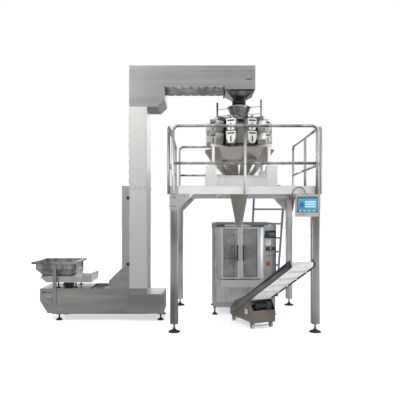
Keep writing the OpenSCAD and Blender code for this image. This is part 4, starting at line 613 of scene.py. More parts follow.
class Mold:
    """Shapes of one finish, worked in millimetres, that become one piece."""

    def __init__(self) -> None:
        """Start with nothing."""
        self.mesh = bmesh.new()

    def _soften(
        self, verts: Iterable[bmesh.types.BMVert], edge: float, segments: int = 2, sharp: float = 0.6
    ) -> None:
        """Round the sharp edges of one shape.

        Args:
            verts: The shape's vertices.
            edge: Width of the rounding.
            segments: Steps round it.
            sharp: Least angle in radians that counts as an edge.
        """
        if edge <= 0:
            return
        edges = {e for v in verts for e in v.link_edges if e.is_manifold and e.calc_face_angle(0) > sharp}
        bmesh.ops.bevel(
            self.mesh,
            geom=list(edges),
            offset=edge,
            offset_type="OFFSET",
            affect="EDGES",
            segments=segments,
            profile=0.5,
            material=-1,
            clamp_overlap=True,
        )

    def block(self, low: Point, high: Point, edge: float = 1.5, turn: Matrix | None = None) -> "Mold":
        """A box with rounded edges, turned about its own middle where a turn is given."""
        size = Vector(high) - Vector(low)
        place = Matrix.Translation((Vector(low) + Vector(high)) / 2)
        matrix = place @ (turn or Matrix.Identity(4)) @ Matrix.Diagonal((*size, 1.0))
        made = bmesh.ops.create_cube(self.mesh, size=1.0, matrix=matrix)
        self._soften(made["verts"], min(edge, min(size) * 0.4))
        return self

    def rod(
        self, start: Point, end: Point, radius: float, edge: float = 1.0, sides: int = 24
    ) -> "Mold":
        """A round or polygon bar between two points."""
        a, b = Vector(start), Vector(end)
        along = b - a
        matrix = Matrix.Translation((a + b) / 2) @ along.to_track_quat("Z", "Y").to_matrix().to_4x4()
        made = bmesh.ops.create_cone(
            self.mesh,
            cap_ends=True,
            segments=sides,
            radius1=radius,
            radius2=radius,
            depth=along.length,
            matrix=matrix,
        )
        self._soften(made["verts"], min(edge, radius * 0.4, along.length * 0.4), 2, 0.9)
        return self

    def dome(self, centre: Point, way: Point, radius: float, rise: float, sides: int = 12) -> "Mold":
        """A rivet head: half a flattened ball that stands on a face."""
        turn = Vector(way).to_track_quat("Z", "Y").to_matrix().to_4x4()
        matrix = Matrix.Translation(Vector(centre)) @ turn @ Matrix.Diagonal((radius, radius, rise, 1.0))
        made = bmesh.ops.create_uvsphere(self.mesh, u_segments=sides, v_segments=6, radius=1.0, matrix=matrix)
        geom = made["verts"] + list({e for v in made["verts"] for e in v.link_edges})
        geom += list({f for v in made["verts"] for f in v.link_faces})
        cut = bmesh.ops.bisect_plane(
            self.mesh, geom=geom, plane_co=Vector(centre), plane_no=Vector(way).normalized(), clear_inner=True
        )
        rim = [e for e in cut["geom_cut"] if isinstance(e, bmesh.types.BMEdge)]
        bmesh.ops.contextual_create(self.mesh, geom=rim)
        return self

    def bolt(self, centre: Point, way: Point, size: float = 8.0, washer: bool = True) -> "Mold":
        """A hexagon head on a washer, its under side at the centre.

        Args:
            centre: Where the head meets the sheet.
            way: Direction in which the head stands out.
            size: Half the width over its corners.
            washer: Whether a washer lies under it.

        Returns:
            This mold.
        """
        out = Vector(way).normalized()
        base = Vector(centre)
        if washer:
            self.rod(base, base + out * size * 0.2, size * 1.35, 0.4, 16)
        self.rod(base + out * size * 0.2, base + out * size * 0.85, size, 0.6, 6)
        return self

    def ring(
        self, centre: Point, way: Point, radius: float, thick: float, turns: int = 40, sides: int = 8
    ) -> "Mold":
        """A round ring about an axis."""
        out = Vector(way).normalized()
        side = out.orthogonal().normalized()
        facing = side.cross(out).to_track_quat("Z", "Y").to_matrix().to_4x4()
        matrix = Matrix.Translation(Vector(centre) + side * radius) @ facing
        made = bmesh.ops.create_circle(self.mesh, cap_ends=False, segments=sides, radius=thick, matrix=matrix)
        edges = list({e for v in made["verts"] for e in v.link_edges})
        bmesh.ops.spin(
            self.mesh,
            geom=made["verts"] + edges,
            cent=Vector(centre),
            axis=out,
            dvec=(0, 0, 0),
            angle=math.tau,
            steps=turns,
            use_merge=True,
        )
        return self

    def plate(self, outline: Sequence[Point], push: Point, edge: float = 0.8) -> "Mold":
        """A flat outline pushed into a plate."""
        verts = [self.mesh.verts.new(Vector(p)) for p in outline]
        face = self.mesh.faces.new(verts)
        made = bmesh.ops.extrude_face_region(self.mesh, geom=[face])
        top = [v for v in made["geom"] if isinstance(v, bmesh.types.BMVert)]
        bmesh.ops.translate(self.mesh, verts=top, vec=Vector(push))
        bmesh.ops.recalc_face_normals(self.mesh, faces=list({f for v in verts + top for f in v.link_faces}))
        self._soften(verts + top, edge)
        return self

    def strip(self, path: Sequence[Point], across: Point) -> "Mold":
        """A thin sheet that follows a path of points and is as wide as the vector across."""
        start = [self.mesh.verts.new(Vector(path[0])), self.mesh.verts.new(Vector(path[0]) + Vector(across))]
        edge = self.mesh.edges.new(start)
        for before, after in zip(path, path[1:]):
            made = bmesh.ops.extrude_edge_only(self.mesh, edges=[edge])
            verts = [v for v in made["geom"] if isinstance(v, bmesh.types.BMVert)]
            bmesh.ops.translate(self.mesh, verts=verts, vec=Vector(after) - Vector(before))
            made_edges = (e for e in made["geom"] if isinstance(e, bmesh.types.BMEdge))
            edge = next(e for e in made_edges if set(e.verts) == set(verts))
        return self

    def lathe(
        self, centre: Point, way: Point, profile: Sequence[tuple[float, float]], turns: int = 40
    ) -> "Mold":
        """A shape of revolution; the profile is a closed list of radius and height."""
        out = Vector(way).normalized()
        side = out.orthogonal().normalized()
        base = Vector(centre)
        verts = [self.mesh.verts.new(base + side * r + out * h) for r, h in profile]
        edges = [self.mesh.edges.new((a, b)) for a, b in zip(verts, verts[1:] + verts[:1])]
        made = bmesh.ops.spin(
            self.mesh,
            geom=verts + edges,
            cent=base,
            axis=out,
            dvec=(0, 0, 0),
            angle=math.tau,
            steps=turns,
            use_merge=True,
        )
        near = {v for v in verts if v.is_valid}
        for last in made["geom_last"]:
            near.update(last.verts if isinstance(last, bmesh.types.BMEdge) else [last])
        bmesh.ops.remove_doubles(self.mesh, verts=list(near), dist=0.001)
        return self

    def place(self, matrix: Matrix) -> "Mold":
        """Turn or move everything made so far."""
        bmesh.ops.transform(self.mesh, matrix=matrix, verts=self.mesh.verts)
        return self

    def piece(
        self, name: str, finish: Finish, body: str = ROOT, slot: str = "", smooth: bool = True
    ) -> bpy.types.Object:
        """Turn the shapes into one object that rides on a body.

        Args:
            name: Name of the piece.
            finish: Its finish.
            body: The CAD body that it moves with.
            slot: The record's material slot; not used.
            smooth: Whether curved faces are shaded smooth.

        Returns:
            The finished object.
        """
        bmesh.ops.scale(self.mesh, vec=(MM, MM, MM), verts=self.mesh.verts)
        bmesh.ops.recalc_face_normals(self.mesh, faces=self.mesh.faces)
        for face in self.mesh.faces:
            face.smooth = smooth
        for edge in self.mesh.edges:
            edge.smooth = not (edge.is_manifold and edge.calc_face_angle(0) > CREASE)
        data = bpy.data.meshes.new(name)
        self.mesh.to_mesh(data)
        self.mesh.free()
        made = bpy.data.objects.new(name, data)
        bpy.context.scene.collection.objects.link(made)
        data.materials.append(finish.material())
        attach(made, body)
        LOG.info("%s: %d faces on %s", name, len(data.polygons), body)
        return made


def on_grid(xs: Iterable[float], zs: Iterable[float]) -> list[tuple[float, float]]:
    """Every pair of a value from the first list with one from the second."""
    rows = list(zs)
    return [(x, z) for x in xs for z in rows]


def spaced(start: float, end: float, pitch: float) -> list[float]:
    """Values from start to end, evenly spread at about a pitch."""
    count = max(1, round(abs(end - start) / pitch))
    return [start + (end - start) * i / count for i in range(count + 1)]


# Sub-assemblies


@dataclass
class Studio:
    """Camera, floor and soft light."""

    eye: Point = (-0.5705, -7.033, 1.517)
    lens: float = 43.2
    rise: float = 0.033

    def build(self) -> None:
        """Set up the camera, the floor, the sky and the lamps."""
        data = bpy.data.cameras.new("camera")
        data.lens, data.sensor_width, data.shift_y = self.lens, 36.0, self.rise
        data.clip_end = 200.0
        camera = bpy.data.objects.new("camera", data)
        camera.location = self.eye
        camera.rotation_euler = (math.radians(90), 0.0, 0.0)
        bpy.context.scene.collection.objects.link(camera)
        bpy.context.scene.camera = camera
        self._floor()
        self._sky()
        self._lamp("key", (-4.2, -5.0, 5.2), (0.0, 0.0, 1.4), 3.0, 60.0)
        self._lamp("side", (5.2, -2.2, 3.0), (0.4, 0.0, 1.2), 3.0, 50.0)
        self._lamp("rear", (-1.0, 6.0, 4.5), (0.0, 0.0, 1.5), 4.0, 60.0)

    def _floor(self) -> None:
        """A wide pale floor that steel does not mirror."""
        mesh = bmesh.new()
        bmesh.ops.create_grid(mesh, x_segments=4, y_segments=4, size=40.0)
        data = bpy.data.meshes.new("floor")
        mesh.to_mesh(data)
        mesh.free()
        floor = bpy.data.objects.new("floor", data)
        bpy.context.scene.collection.objects.link(floor)
        shader = Shader("floor_paper")
        tone = shader.noise((0.3, 0.3, 0.3), 2.0)
        colour = shader.mix(tone, (0.93, 0.93, 0.93), (0.97, 0.97, 0.97))
        surface = shader.node(
            "ShaderNodeBsdfPrincipled",
            sockets={
                "Base Color": colour,
                "Roughness": 0.9,
                "Specular IOR Level": 0.1,
                "Emission Color": (1.0, 1.0, 1.0),
                "Emission Strength": 0.5,
            },
        )
        shader.node("ShaderNodeOutputMaterial", sockets={"Surface": surface})
        data.materials.append(shader.material)
        floor.visible_glossy = False

    def _sky(self) -> None:
        """A white room whose reflections fall off to grey towards the floor."""
        world = bpy.data.worlds.new("room")
        world.use_nodes = True
        tree = world.node_tree
        tree.nodes.clear()
        make, link = tree.nodes.new, tree.links.new
        where, split = make("ShaderNodeTexCoord"), make("ShaderNodeSeparateXYZ")
        ramp, span = make("ShaderNodeValToRGB"), make("ShaderNodeMapRange")
        seen, mix = make("ShaderNodeLightPath"), make("ShaderNodeMix")
        back, out = make("ShaderNodeBackground"), make("ShaderNodeOutputWorld")
        link(where.outputs["Generated"], split.inputs[0])
        span.inputs["From Min"].default_value, span.inputs["From Max"].default_value = -1.0, 1.0
        link(split.outputs["Z"], span.inputs["Value"])
        stops = ((0.0, 0.30), (0.45, 0.30), (0.53, 0.62), (0.66, 0.90), (0.8, 0.95), (1.0, 0.75))
        while len(ramp.color_ramp.elements) < len(stops):
            ramp.color_ramp.elements.new(0.5)
        for element, (place, tone) in zip(ramp.color_ramp.elements, stops):
            element.position, element.color = place, (tone, tone, tone, 1.0)
        link(span.outputs[0], ramp.inputs[0])
        mix.data_type = "RGBA"
        link(seen.outputs["Is Camera Ray"], mix.inputs[0])
        link(ramp.outputs[0], mix.inputs[6])
        mix.inputs[7].default_value = (1.0, 1.0, 1.0, 1.0)
        link(mix.outputs[2], back.inputs["Color"])
        link(back.outputs[0], out.inputs["Surface"])
        bpy.context.scene.world = world
        bpy.context.scene.view_settings.view_transform = "Standard"

    def _lamp(self, name: str, place: Point, aim: Point, size: float, power: float) -> None:
        """One square soft lamp.

        Args:
            name: Its name.
            place: Where it stands.
            aim: The point it faces.
            size: Its side in metres.
            power: Its power in watts.
        """
        data = bpy.data.lights.new(name, "AREA")
        data.size, data.energy = size, power
        lamp = bpy.data.objects.new(name, data)
        lamp.location = place
        lamp.rotation_euler = (Vector(aim) - Vector(place)).to_track_quat("-Z", "Y").to_euler()
        bpy.context.scene.collection.objects.link(lamp)


@dataclass
class PanelCable:
    """The black cable from the weigher to the operator panel."""

    radius: float = 5.0
    route: tuple[tuple[float, float, float], ...] = (
        (504, -415, 1900), (524, -416, 1898), (545, -420, 1891), (563, -430, 1880), (576, -447, 1872),
        (584, -470, 1870), (588, -500, 1870), (590, -530, 1870), (592, -560, 1870), (593, -590, 1870),
        (594, -620, 1870), (595, -650, 1870), (596, -681, 1870), (597, -712, 1870), (597, -727, 1866),
        (598, -740, 1857), (598, -749, 1844), (598, -752, 1829), (598, -753, 1803), (597, -757, 1777),
        (595, -766, 1752), (594, -781, 1730), (593, -802, 1712), (592, -827, 1701), (592, -854, 1697),
        (592, -881, 1699), (593, -907, 1707), (594, -930, 1721), (596, -949, 1740), (600, -962, 1763),
        (607, -971, 1788), (618, -979, 1811), (635, -988, 1829), (658, -996, 1840), (683, -1003, 1843),
        (707, -1009, 1836), (727, -1013, 1820), (739, -1016, 1798), (743, -1016, 1777), (743, -1016, 1759),
    )

    def length(self) -> float:
        """Length of the route in metres."""
        return sum((Vector(b) - Vector(a)).length for a, b in zip(self.route, self.route[1:])) * MM

    def build(self) -> None:
        """Make the cable as one open curve through the route's points."""
        curve = bpy.data.curves.new("panel_cable_flex", "CURVE")
        curve.dimensions = "3D"
        curve.bevel_depth = self.radius * MM
        curve.bevel_resolution = 3
        curve.resolution_u = 4
        curve.use_fill_caps = True
        spline = curve.splines.new("BEZIER")
        spline.bezier_points.add(len(self.route) - 1)
        for point, place in zip(spline.bezier_points, self.route):
            point.co = Vector(place) * MM
            point.handle_left_type = point.handle_right_type = "AUTO"
        flex = bpy.data.objects.new("panel_cable_flex", curve)
        bpy.context.scene.collection.objects.link(flex)
        curve.materials.append(USE.sheath.material())
        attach(flex, ROOT)
        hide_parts("panel_cable")
        self.length()
        ring = Mold().ring((597.5, -734, 1862), UP, 19.5, 3.2)
        ring.rod((490, -415, 1900), (496, -415, 1900), 13, 1.0, 6)
        ring.rod((743, -1016, 1744.6), (743, -1016, 1750), 13, 1.0, 6)
        ring.piece("cable_grommets", USE.rubber, ROOT, "cable_rubber")


@dataclass
class WorkPlatform:
    """Legs, beams, deck, rails and ladder."""

    half: float = 950.0
    deck: float = 1864.0
    beam_low: float = 1760.0
    leg: float = 900.0
    rail_off: float = 969.3
    rail_top: float = 2621.0
    rail_mid: float = 2148.6

    def build(self) -> None:
        """Make the fixings that the frame carries."""
        self._gusset_bolts()
        self._foot_nuts()
        self._rail_welds()
        self._ladder_grips()
        self._deck_screws()

    def _gusset_bolts(self) -> None:
        """Bolts through the corner plates, front, back and sides."""
        bolts = Mold()
        for sx in SIDES:
            for sy in SIDES:
                for across, up in ((62, 40), (38, 40), (62, 150), (38, 150), (180, 22)):
                    face = self.half + 5.2
                    bolts.bolt((sx * (self.half - across), sy * face, self.beam_low - up), (0, sy, 0), 8.5)
                    bolts.bolt((sx * face, sy * (self.half - across), self.beam_low - up), (sx, 0, 0), 8.5)
        bolts.piece("corner_bolts", USE.machined, ROOT, "platform_steel")

    def _foot_nuts(self) -> None:
        """Lock nuts and washers on the studs of the platform's feet."""
        nuts = Mold()
        for sx in SIDES:
            for sy in SIDES:
                x, y = sx * self.leg, sy * self.leg
                nuts.rod((x, y, 43), (x, y, 57), 19, 1.5, 6)
                nuts.rod((x, y, 57), (x, y, 60), 25, 0.8)
                for i in range(5):
                    nuts.ring((x, y, 64 + 6 * i), UP, 10.2, 1.4, 24, 6)
        nuts.piece("levelling_nuts", USE.machined, ROOT, "shaft_steel")

    def _rail_welds(self) -> None:
        """Weld beads where the rails meet the posts, and caps on the post clamps."""
        beads = Mold()
        for x in (-910, 0, 910):
            for y in (-self.rail_off, self.rail_off):
                if y > 0 and x > 0:
                    continue
                for s in SIDES:
                    if abs(x + s * 20) < 930:
                        beads.ring((x + s * 19.2, y, self.rail_mid), (1, 0, 0), 18.6, 1.6, 28, 6)
                beads.ring((x, y, self.rail_top - 19.2), UP, 18.6, 1.8, 28, 6)
        for y in (-910, 0, 910):
            for x in (-self.rail_off, self.rail_off):
                for s in SIDES:
                    if abs(y + s * 20) < 930:
                        beads.ring((x, y + s * 19.2, self.rail_mid), (0, 1, 0), 18.6, 1.6, 28, 6)
                beads.ring((x, y, self.rail_top - 19.2), UP, 18.6, 1.8, 28, 6)
        beads.piece("rail_weld_beads", USE.machined, ROOT, "rail_tube")

    def _ladder_grips(self) -> None:
        """Raised grip bars on the ladder's treads, and bolts at its hooks."""
        gap = 1860 / 7.5
        slope = 1 / math.tan(math.radians(66.6))
        grips = Mold()
        for i in range(1, 8):
            z = 1860 - 16 - i * gap
            y = 952 + (1860 - z) * slope + 38
            for k in range(5):
                grips.block((352, y - 44 + 20 * k, z), (818, y - 38 + 20 * k, z + 3), 0.8)
        for x in (334, 836):
            for z in (1790, 1836):
                grips.bolt((x, 953, z), (0, 1, 0), 7)
        grips.piece("ladder_grips", USE.ladder, ROOT, "ladder_steel")

    def _deck_screws(self) -> None:
        """Countersunk screws along the deck's edges."""
        screws = Mold()
        for s in SIDES:
            for a in spaced(-860, 860, 215):
                screws.dome((a, s * 925, self.deck), UP, 7, 1.6)
                screws.dome((s * 925, a, self.deck), UP, 7, 1.6)
        screws.piece("deck_screws", USE.machined, ROOT, "deck_plate")


@dataclass
class BucketElevator:
    """Boot, column, arm, door, hopper and drive of the elevator."""

    front: float = -265.0
    back: float = 265.0
    outer: float = -1568.0
    inner: float = -1318.0
    arm_end: float = 210.0
    top: float = 3601.0

    def build(self) -> None:
        """Make rivets, bolts, latches, seals and motor parts."""
        self._rivets()
        self._joint_bolts()
        self._latches()
        self._hopper_seal()
        self._motor_fins()
        self._boot_bolts()
        self._bearing_bolts()

    def _rivets(self) -> None:
        """Rivet rows along the arm's bands and the casing's edges."""
        rivets = Mold()
        for s, y in ((-1, self.front - 3.0), (1, self.back + 3.2)):
            for x in spaced(self.outer + 25, self.arm_end - 25, 98):
                for z in (self.top - 14, self.top - 66):
                    rivets.dome((x, y, z), (0, s, 0), 6.5, 3.2)
            face = self.front if s < 0 else self.back
            for x in spaced(-1050, self.arm_end - 25, 118):
                rivets.dome((x, face, 3322), (0, s, 0), 6, 3)
            for z in spaced(640, 1820, 118) + spaced(1950, 3440, 118):
                rivets.dome((self.inner - 16, face, z), (0, s, 0), 6, 3)
            for z in spaced(1950, 3440, 118):
                rivets.dome((self.outer + 16, face, z), (0, s, 0), 6, 3)
            for x in spaced(-2600, -1700, 112):
                rivets.dome((x, face, 118), (0, s, 0), 6, 3)
        rivets.piece("casing_rivets", USE.machined, ROOT, "casing_steel")

    def _joint_bolts(self) -> None:
        """Bolts through the flange halfway up the column."""
        bolts = Mold()
        for s, y in ((-1, self.front - 6.0), (1, self.back + 6.2)):
            for x in spaced(self.outer + 24, self.inner - 24, 67):
                for z in (1871, 1895):
                    bolts.bolt((x, y, z), (0, s, 0), 6)
        bolts.piece("column_bolts", USE.machined, ROOT, "casing_steel")

    def _latches(self) -> None:
        """Black quarter-turn latches of the service door."""
        grips = Mold()
        for z in (798, 1734):
            grips.block((-1606, -291, z - 12), (-1566, -277.4, z + 12), 5)
            grips.rod((-1586, -296, z), (-1586, -290, z), 9, 2)
        grips.piece("latch_grips", USE.rubber, "elevator_door_body", "foot_rubber")
        plates = Mold()
        for z in (798, 1734):
            for a, b in on_grid((-1598, -1574), (z - 19, z + 19)):
                plates.dome((a, -277, b), (0, -1, 0), 3.5, 2, 10)
        plates.piece("latch_screws", USE.machined, "elevator_door_body", "door_steel")

    def _hopper_seal(self) -> None:
        """Dark seal between the hopper and the tray, and the rim's corner welds."""
        cx = (-2928 - 2303) / 2
        seal = Mold()
        for s in SIDES:
            seal.block((cx + s * 204.4 - 3, -197, 621), (cx + s * 204.4 + 3, 197, 634), 1.5)
            seal.block((cx - 206, s * 197 - 3, 621), (cx + 206, s * 197 + 3, 634), 1.5)
        seal.piece("hopper_seal", USE.rubber, ROOT, "foot_rubber")
        trim = Mold()
        for s in SIDES:
            trim.block((-2925, s * 312 - 8, 830), (-2306, s * 312 + 8, 831.2), 0.4)
        trim.piece("hopper_rim_trim", USE.rubber, ROOT, "foot_rubber")

    def _motor_fins(self) -> None:
        """Cooling fins, fan cover, terminal box and bolts of the elevator's gearmotor."""
        x, z = -1198.0, 270.0
        fins = Mold()
        for y in spaced(-70, 130, 12.5):
            fins.lathe((x, y, z), (0, 1, 0), [(62.0, -1.6), (70.0, -1.2), (70.0, 1.2), (62.0, 1.6)], 36)
        fins.block((x - 30, -40, z + 60), (x + 30, 70, z + 96), 4)
        for i in range(5):
            fins.ring((x, 200.4, z), (0, 1, 0), 10 + 8 * i, 1.5, 28, 6)
        fins.piece("motor_fins", USE.motor, ROOT, "motor_paint")
        bolts = Mold()
        for a, b in on_grid((x - 44, x + 44), (z - 58, z + 48)):
            bolts.bolt((a, -190.4, b), (0, -1, 0), 6)
        bolts.piece("gearbox_bolts", USE.machined, ROOT, "shaft_steel")

    def _boot_bolts(self) -> None:
        """Mounting bolts on both sides of the boot."""
        bolts = Mold()
        for s in SIDES:
            for x in (-2520, -2330):
                bolts.bolt((x, s * 268, 210), (0, s, 0), 6)
        bolts.piece("boot_bolts", USE.machined, ROOT, "casing_steel")

    def _bearing_bolts(self) -> None:
        """Bolts of the flange bearings at the arm's head, the boot's tail and the drive."""
        bolts = Mold()
        for x, z, y in ((120, 3448.5, 289), (-2698, 300, 289)):
            for s in SIDES:
                for a, b in on_grid((x - 30, x + 30), (z - 30, z + 30)):
                    bolts.bolt((a, s * y, b), (0, s, 0), 6.5, False)
        bolts.piece("bearing_bolts", USE.machined, ROOT, "shaft_steel")


@dataclass
class Weigher:
    """The ten-head weigher on the deck."""

    heads: int = 10
    hopper_face: float = 477.0
    base_off: float = 415.0

    def build(self) -> None:
        """Make hopper catches, funnel rims and screws."""
        self._hopper_catches()
        self._funnel_ribs()
        self._box_trim()
        self._cover_screws()

    def _hopper_catches(self) -> None:
        """Gate pins, springs and lip strips at each hopper."""
        bright, dark = Mold(), Mold()
        for low in (2655.0, 2480.0):
            outer = self.hopper_face
            for pin in (low + 22, low + 128):
                bright.rod((outer - 10, -52, pin), (outer - 10, 52, pin), 4.5, 0.8, 12)
            dark.block((outer, -8, low + 18), (outer + 3, 8, low + 96), 1)
            dark.block((outer, -50, low + 128), (outer + 4, 50, low + 146), 1)
            bright.rod((outer + 3, 0, low + 104), (outer + 10, 0, low + 104), 6, 1, 12)
        named = ((bright, "hopper_catches", USE.bright), (dark, "hopper_rollers", USE.rubber))
        for mold, name, finish in named:
            verts = mold.mesh.verts[:]
            geom = verts + mold.mesh.edges[:] + mold.mesh.faces[:]
            for i in range(1, self.heads):
                made = bmesh.ops.duplicate(mold.mesh, geom=geom)
                copies = [v for v in made["geom"] if isinstance(v, bmesh.types.BMVert)]
                turn = Matrix.Rotation(i * math.tau / self.heads, 3, "Z")
                bmesh.ops.rotate(mold.mesh, verts=copies, cent=(0, 0, 0), matrix=turn)
            mold.piece(name, finish, ROOT, "hopper_steel")

    def _funnel_ribs(self) -> None:
        """Rolled rims and bands of both funnels."""
        rims = Mold()
        rims.ring((0, 0, 3064), UP, 169.5, 3.5, 64)
        rims.ring((0, 0, 2957), UP, 118.0, 2.4, 56)
        rims.ring((0, 0, 2898), UP, 85.5, 3.0, 48)
        rims.piece("infeed_funnel_rims", USE.bright, ROOT, "hopper_steel")
        low = Mold()
        low.ring((0, 0, 2033), UP, 209.0, 3.2, 64)
        low.ring((0, 0, 1789), UP, 131.5, 2.6, 56)
        low.ring((0, 0, 1411), UP, 58.5, 2.6, 40)
        low.piece("collecting_funnel_rims", USE.chute, ROOT, "chute_steel")

    def _box_trim(self) -> None:
        """Screws of the four base boxes."""
        lids = Mold()
        for sx in SIDES:
            for sy in SIDES:
                x, y = sx * self.base_off, sy * self.base_off
                for a, b in on_grid((x - 58, x + 58), (1890, 2140)):
                    lids.dome((a, y + sy * 74.2, b), (0, sy, 0), 5, 2.4)
        lids.piece("box_screws", USE.machined, ROOT, "weigher_frame")

    def _cover_screws(self) -> None:
        """Screws on the drive covers between the hoppers, and the lifting eyes."""
        screws = Mold()
        for i in range(self.heads):
            turn = math.radians(18 + 36 * i)
            out = Vector((math.cos(turn), math.sin(turn), 0))
            side = Vector((-out.y, out.x, 0))
            for z in (2520, 2640, 2765):
                for s in SIDES:
                    screws.dome(out * 303.2 + side * (s * 26) + Vector((0, 0, z)), out, 4, 2, 10)
        screws.piece("cover_screws", USE.machined, ROOT, "weigher_frame")
        eyes = Mold()
        for turn in (54, 234):
            a = math.radians(turn)
            eyes.ring((285 * math.cos(a), 285 * math.sin(a), 2856), (math.cos(a), math.sin(a), 0), 15, 4, 32)
        eyes.piece("lifting_eyes", USE.machined, ROOT, "shaft_steel")


@dataclass
class OperatorPanel:
    """The swivelling panel hung from the deck."""

    face: float = -1064.0
    back: float = -998.0
    body: str = "operator_panel_body"

    def build(self) -> None:
        """Make the lit screen, its frame, the keys and the rear vents."""
        face = self.face
        frame = Mold()
        x0, x1, z0, z1 = 642.5, 886.5, 1535.0, 1718.0
        bars = (
            ((x0 - 7, z1), (x1 + 7, z1 + 7)),
            ((x0 - 7, z0 - 7), (x1 + 7, z0)),
            ((x0 - 7, z0), (x0, z1)),
            ((x1, z0), (x1 + 7, z1)),
        )
        for a, b in bars:
            frame.block((a[0], face - 2.4, a[1]), (b[0], face, b[1]), 0.9)
        frame.piece("panel_screen_frame", USE.glass_black, self.body, "panel_steel")
        keys = Mold()
        for i in range(4):
            keys.rod((668 + 24 * i, face - 4, 1504), (668 + 24 * i, face, 1504), 6, 1.2, 20)
        keys.piece("panel_keys", USE.dark_paint, self.body, "panel_steel")
        glass = Mold().block((x0 + 0.8, face + 0.2, z0 + 0.8), (x1 - 0.8, face + 1.6, z1 - 0.8), 0.4)
        screen = PanelPicture(
            "panel_picture",
            (0.14, 0.33, 0.40),
            (0.06, 0.19, 0.28),
            rough=0.18,
            low=(x0, z0),
            high=(x1, z1),
            accent=(0.02, 0.12, 0.26),
        )
        glass.piece("panel_glass", screen, self.body, "panel_steel")
        back = Mold()
        for z in spaced(1500, 1716, 18):
            back.block((690, self.back, z), (842, self.back + 1.6, z + 8), 0.6)
        back.piece("panel_vents", USE.dark_paint, self.body, "panel_steel")


